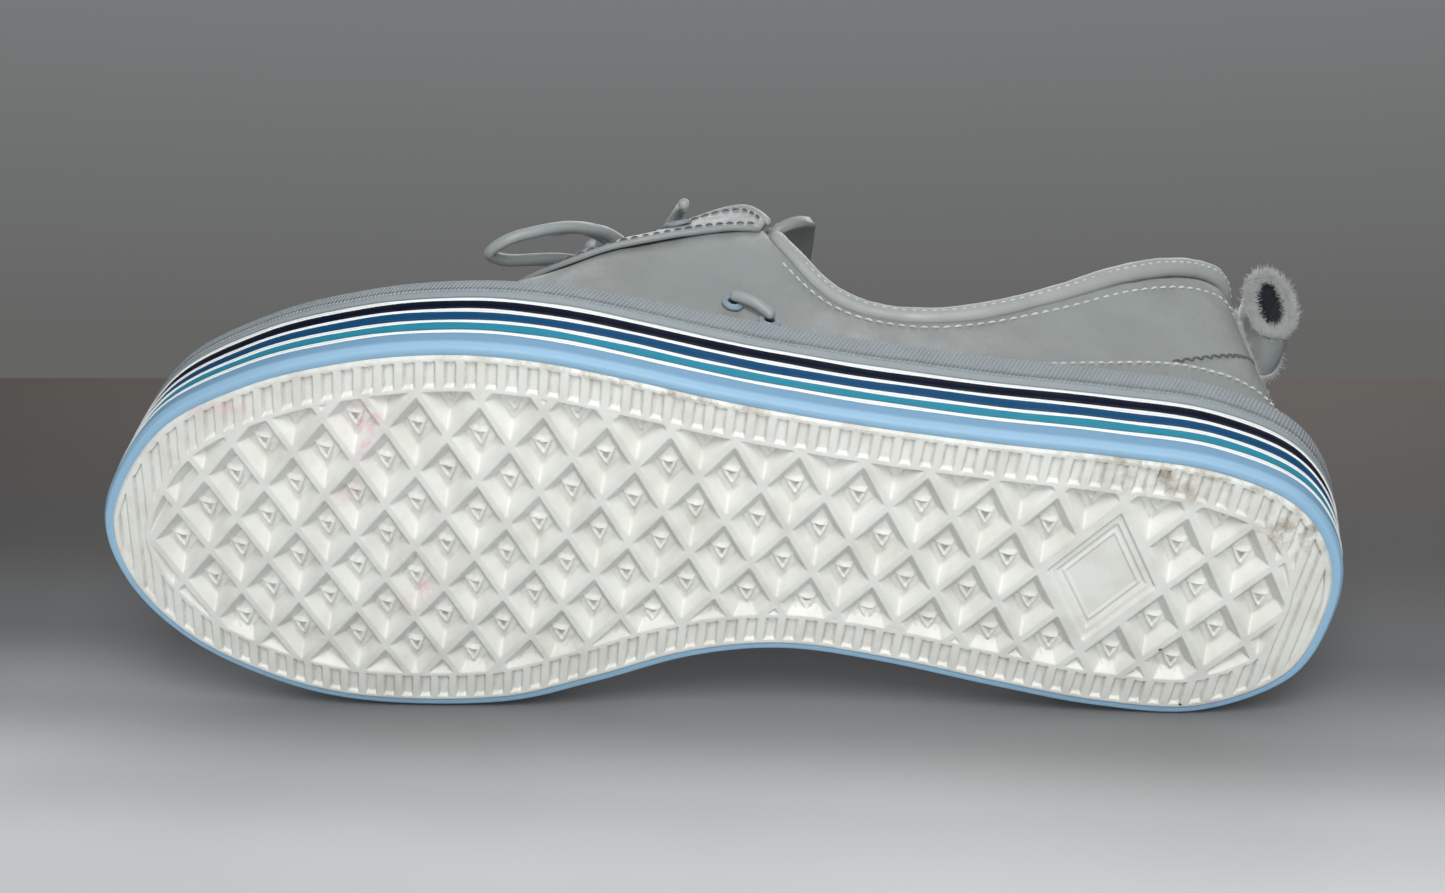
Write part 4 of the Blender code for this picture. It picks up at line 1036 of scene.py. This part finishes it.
def ray_on_floor(x, y, right, up, back):
    """Where the camera's ray through a place in the 1445x893 frame meets the floor."""
    focal = LENS / SENSOR * IMAGE[0]
    ray = right * ((x - IMAGE[0] / 2) / focal) - up * ((y - IMAGE[1] / 2) / focal) - back
    reach = (FLOOR_OFFSET - CAMERA.dot(FLOOR_NORMAL)) / ray.dot(FLOOR_NORMAL)
    return CAMERA + ray * reach


def floor(*axes):
    """A pale board under the shoe's medial side, with painted shade: its colour darkens towards the far edge and round
    the shoe; from behind it lets the view through.
    """
    a, b = (ray_on_floor(x, HORIZON, *axes) for x in (0, IMAGE[0]))
    along = (b - a).normalized()
    near = along.cross(FLOOR_NORMAL)
    if near.dot(CAMERA - a) < 0:
        near = -near
    a, b = a - along * FLOOR_REACH[0], b + along * FLOOR_REACH[0]
    mesh = bpy.data.meshes.new("floor")
    corners = (a, b, b + near * FLOOR_REACH[1], a + near * FLOOR_REACH[1])
    mesh.from_pydata([tuple(corner) for corner in corners], [], [(0, 1, 2, 3)])
    if mesh.polygons[0].normal.dot(FLOOR_NORMAL) < 0:
        mesh.flip_normals()
    obj = bpy.data.objects.new("floor", mesh)
    bpy.context.scene.collection.objects.link(obj)

    made = Material("pale_floor", srgb(214, 216, 218), 0.75, 0.1)
    made.patches(srgb(198, 200, 204), 180.0, 3.0, 0.4, 0.7, 0.5)
    reach = made.node("ShaderNodeVectorMath", [(1, near)], operation="DOT_PRODUCT")
    made.link(made.coords, reach.inputs[0])
    start, *stops = [ray_on_floor(IMAGE[0] / 2, y, *axes).dot(near) for y in (HORIZON, *(y for y, _ in PAINTED_FLOOR_FALLOFF))]
    fade = made.node("ShaderNodeValToRGB")
    fade.color_ramp.interpolation = "EASE"
    made.link(made.ramp(reach.outputs["Value"], start, stops[-1]), fade.inputs[0])
    for index, (stop, (_, colour)) in enumerate(zip(stops, PAINTED_FLOOR_FALLOFF)):
        spot = fade.color_ramp.elements[index] if index < 2 else fade.color_ramp.elements.new(1.0)
        spot.position = (stop - start) / (stops[-1] - start)
        spot.color = (*colour, 1.0)
    # painted light falloff: the ramp darkens the floor's colour towards its far edge
    made.multiply(fade.outputs[0], 1.0)
    # painted contact shadow: ambient occlusion darkens the floor's colour round the shoe
    painted_contact_shadow = made.node("ShaderNodeAmbientOcclusion", [("Distance", 0.055)], samples=8)
    made.multiply(painted_contact_shadow.outputs["Color"], 0.5)
    made.bump(made.noise(0.8, 2.0), 0.02, 0.3)
    mesh.materials.append(made.done())
    mix = made.node("ShaderNodeMixShader")
    made.link(made.node("ShaderNodeNewGeometry").outputs["Backfacing"], mix.inputs[0])
    made.link(made.shader.outputs[0], mix.inputs[1])
    made.link(made.node("ShaderNodeBsdfTransparent").outputs[0], mix.inputs[2])
    made.link(mix.outputs[0], made.tree.nodes["Material Output"].inputs["Surface"])


LIGHTS = (
    ("key", (0.62, -0.02, -0.3), (0, 0, 0.03), (0.3, 0.3), 3.4, (1.0, 0.99, 0.97)),
    ("front", (0.55, 0.1, -0.95), (0, 0, 0.03), (0.9, 0.7), 4.6, (0.97, 0.99, 1.0)),
    ("top", (0.1, 0.1, 1.1), (0, 0, 0.05), (1.0, 1.0), 7.0, (1.0, 1.0, 1.0)),
    ("medial", (-0.6, -0.3, 0.9), (0, 0, 0.05), (0.8, 0.8), 4.0, (1.0, 1.0, 1.0)),
    ("back_fill", (-0.95, 0.15, 0.4), (0, 0, 0.04), (0.8, 0.8), 5.0, (1.0, 1.0, 1.0)),
)
SKY = ((0.06, srgb(101, 101, 100)), (0.26, srgb(122, 125, 126)))


def area_light(name, place, target, size, power, colour):
    data = bpy.data.lights.new(name, "AREA")
    data.shape = "RECTANGLE"
    data.size, data.size_y = size
    data.energy = power
    data.color = colour
    obj = bpy.data.objects.new(name, data)
    obj.location = place
    obj.rotation_euler = (Vector(target) - Vector(place)).to_track_quat("-Z", "Y").to_euler()
    obj.visible_camera = False
    bpy.context.scene.collection.objects.link(obj)


def light(up):
    world = bpy.data.worlds.new("studio")
    bpy.context.scene.world = world
    world.use_nodes = True
    nodes, links = world.node_tree.nodes, world.node_tree.links
    lift = nodes.new("ShaderNodeVectorMath")
    lift.operation = "DOT_PRODUCT"
    lift.inputs[1].default_value = up
    links.new(nodes.new("ShaderNodeTexCoord").outputs["Generated"], lift.inputs[0])
    fade = nodes.new("ShaderNodeValToRGB")
    for spot, (place, colour) in zip(fade.color_ramp.elements, SKY):
        spot.position, spot.color = place, (*colour, 1.0)
    links.new(lift.outputs["Value"], fade.inputs[0])
    links.new(fade.outputs[0], nodes["Background"].inputs["Color"])
    for row in LIGHTS:
        area_light(*row)
    bpy.context.scene.view_settings.view_transform = "Standard"


view_axes = camera()
for build in (laces, outsole, foxing, upper, collar, tongue, heel_loop, loose_thread, inside):
    build()
floor(*view_axes)
light(view_axes[1])
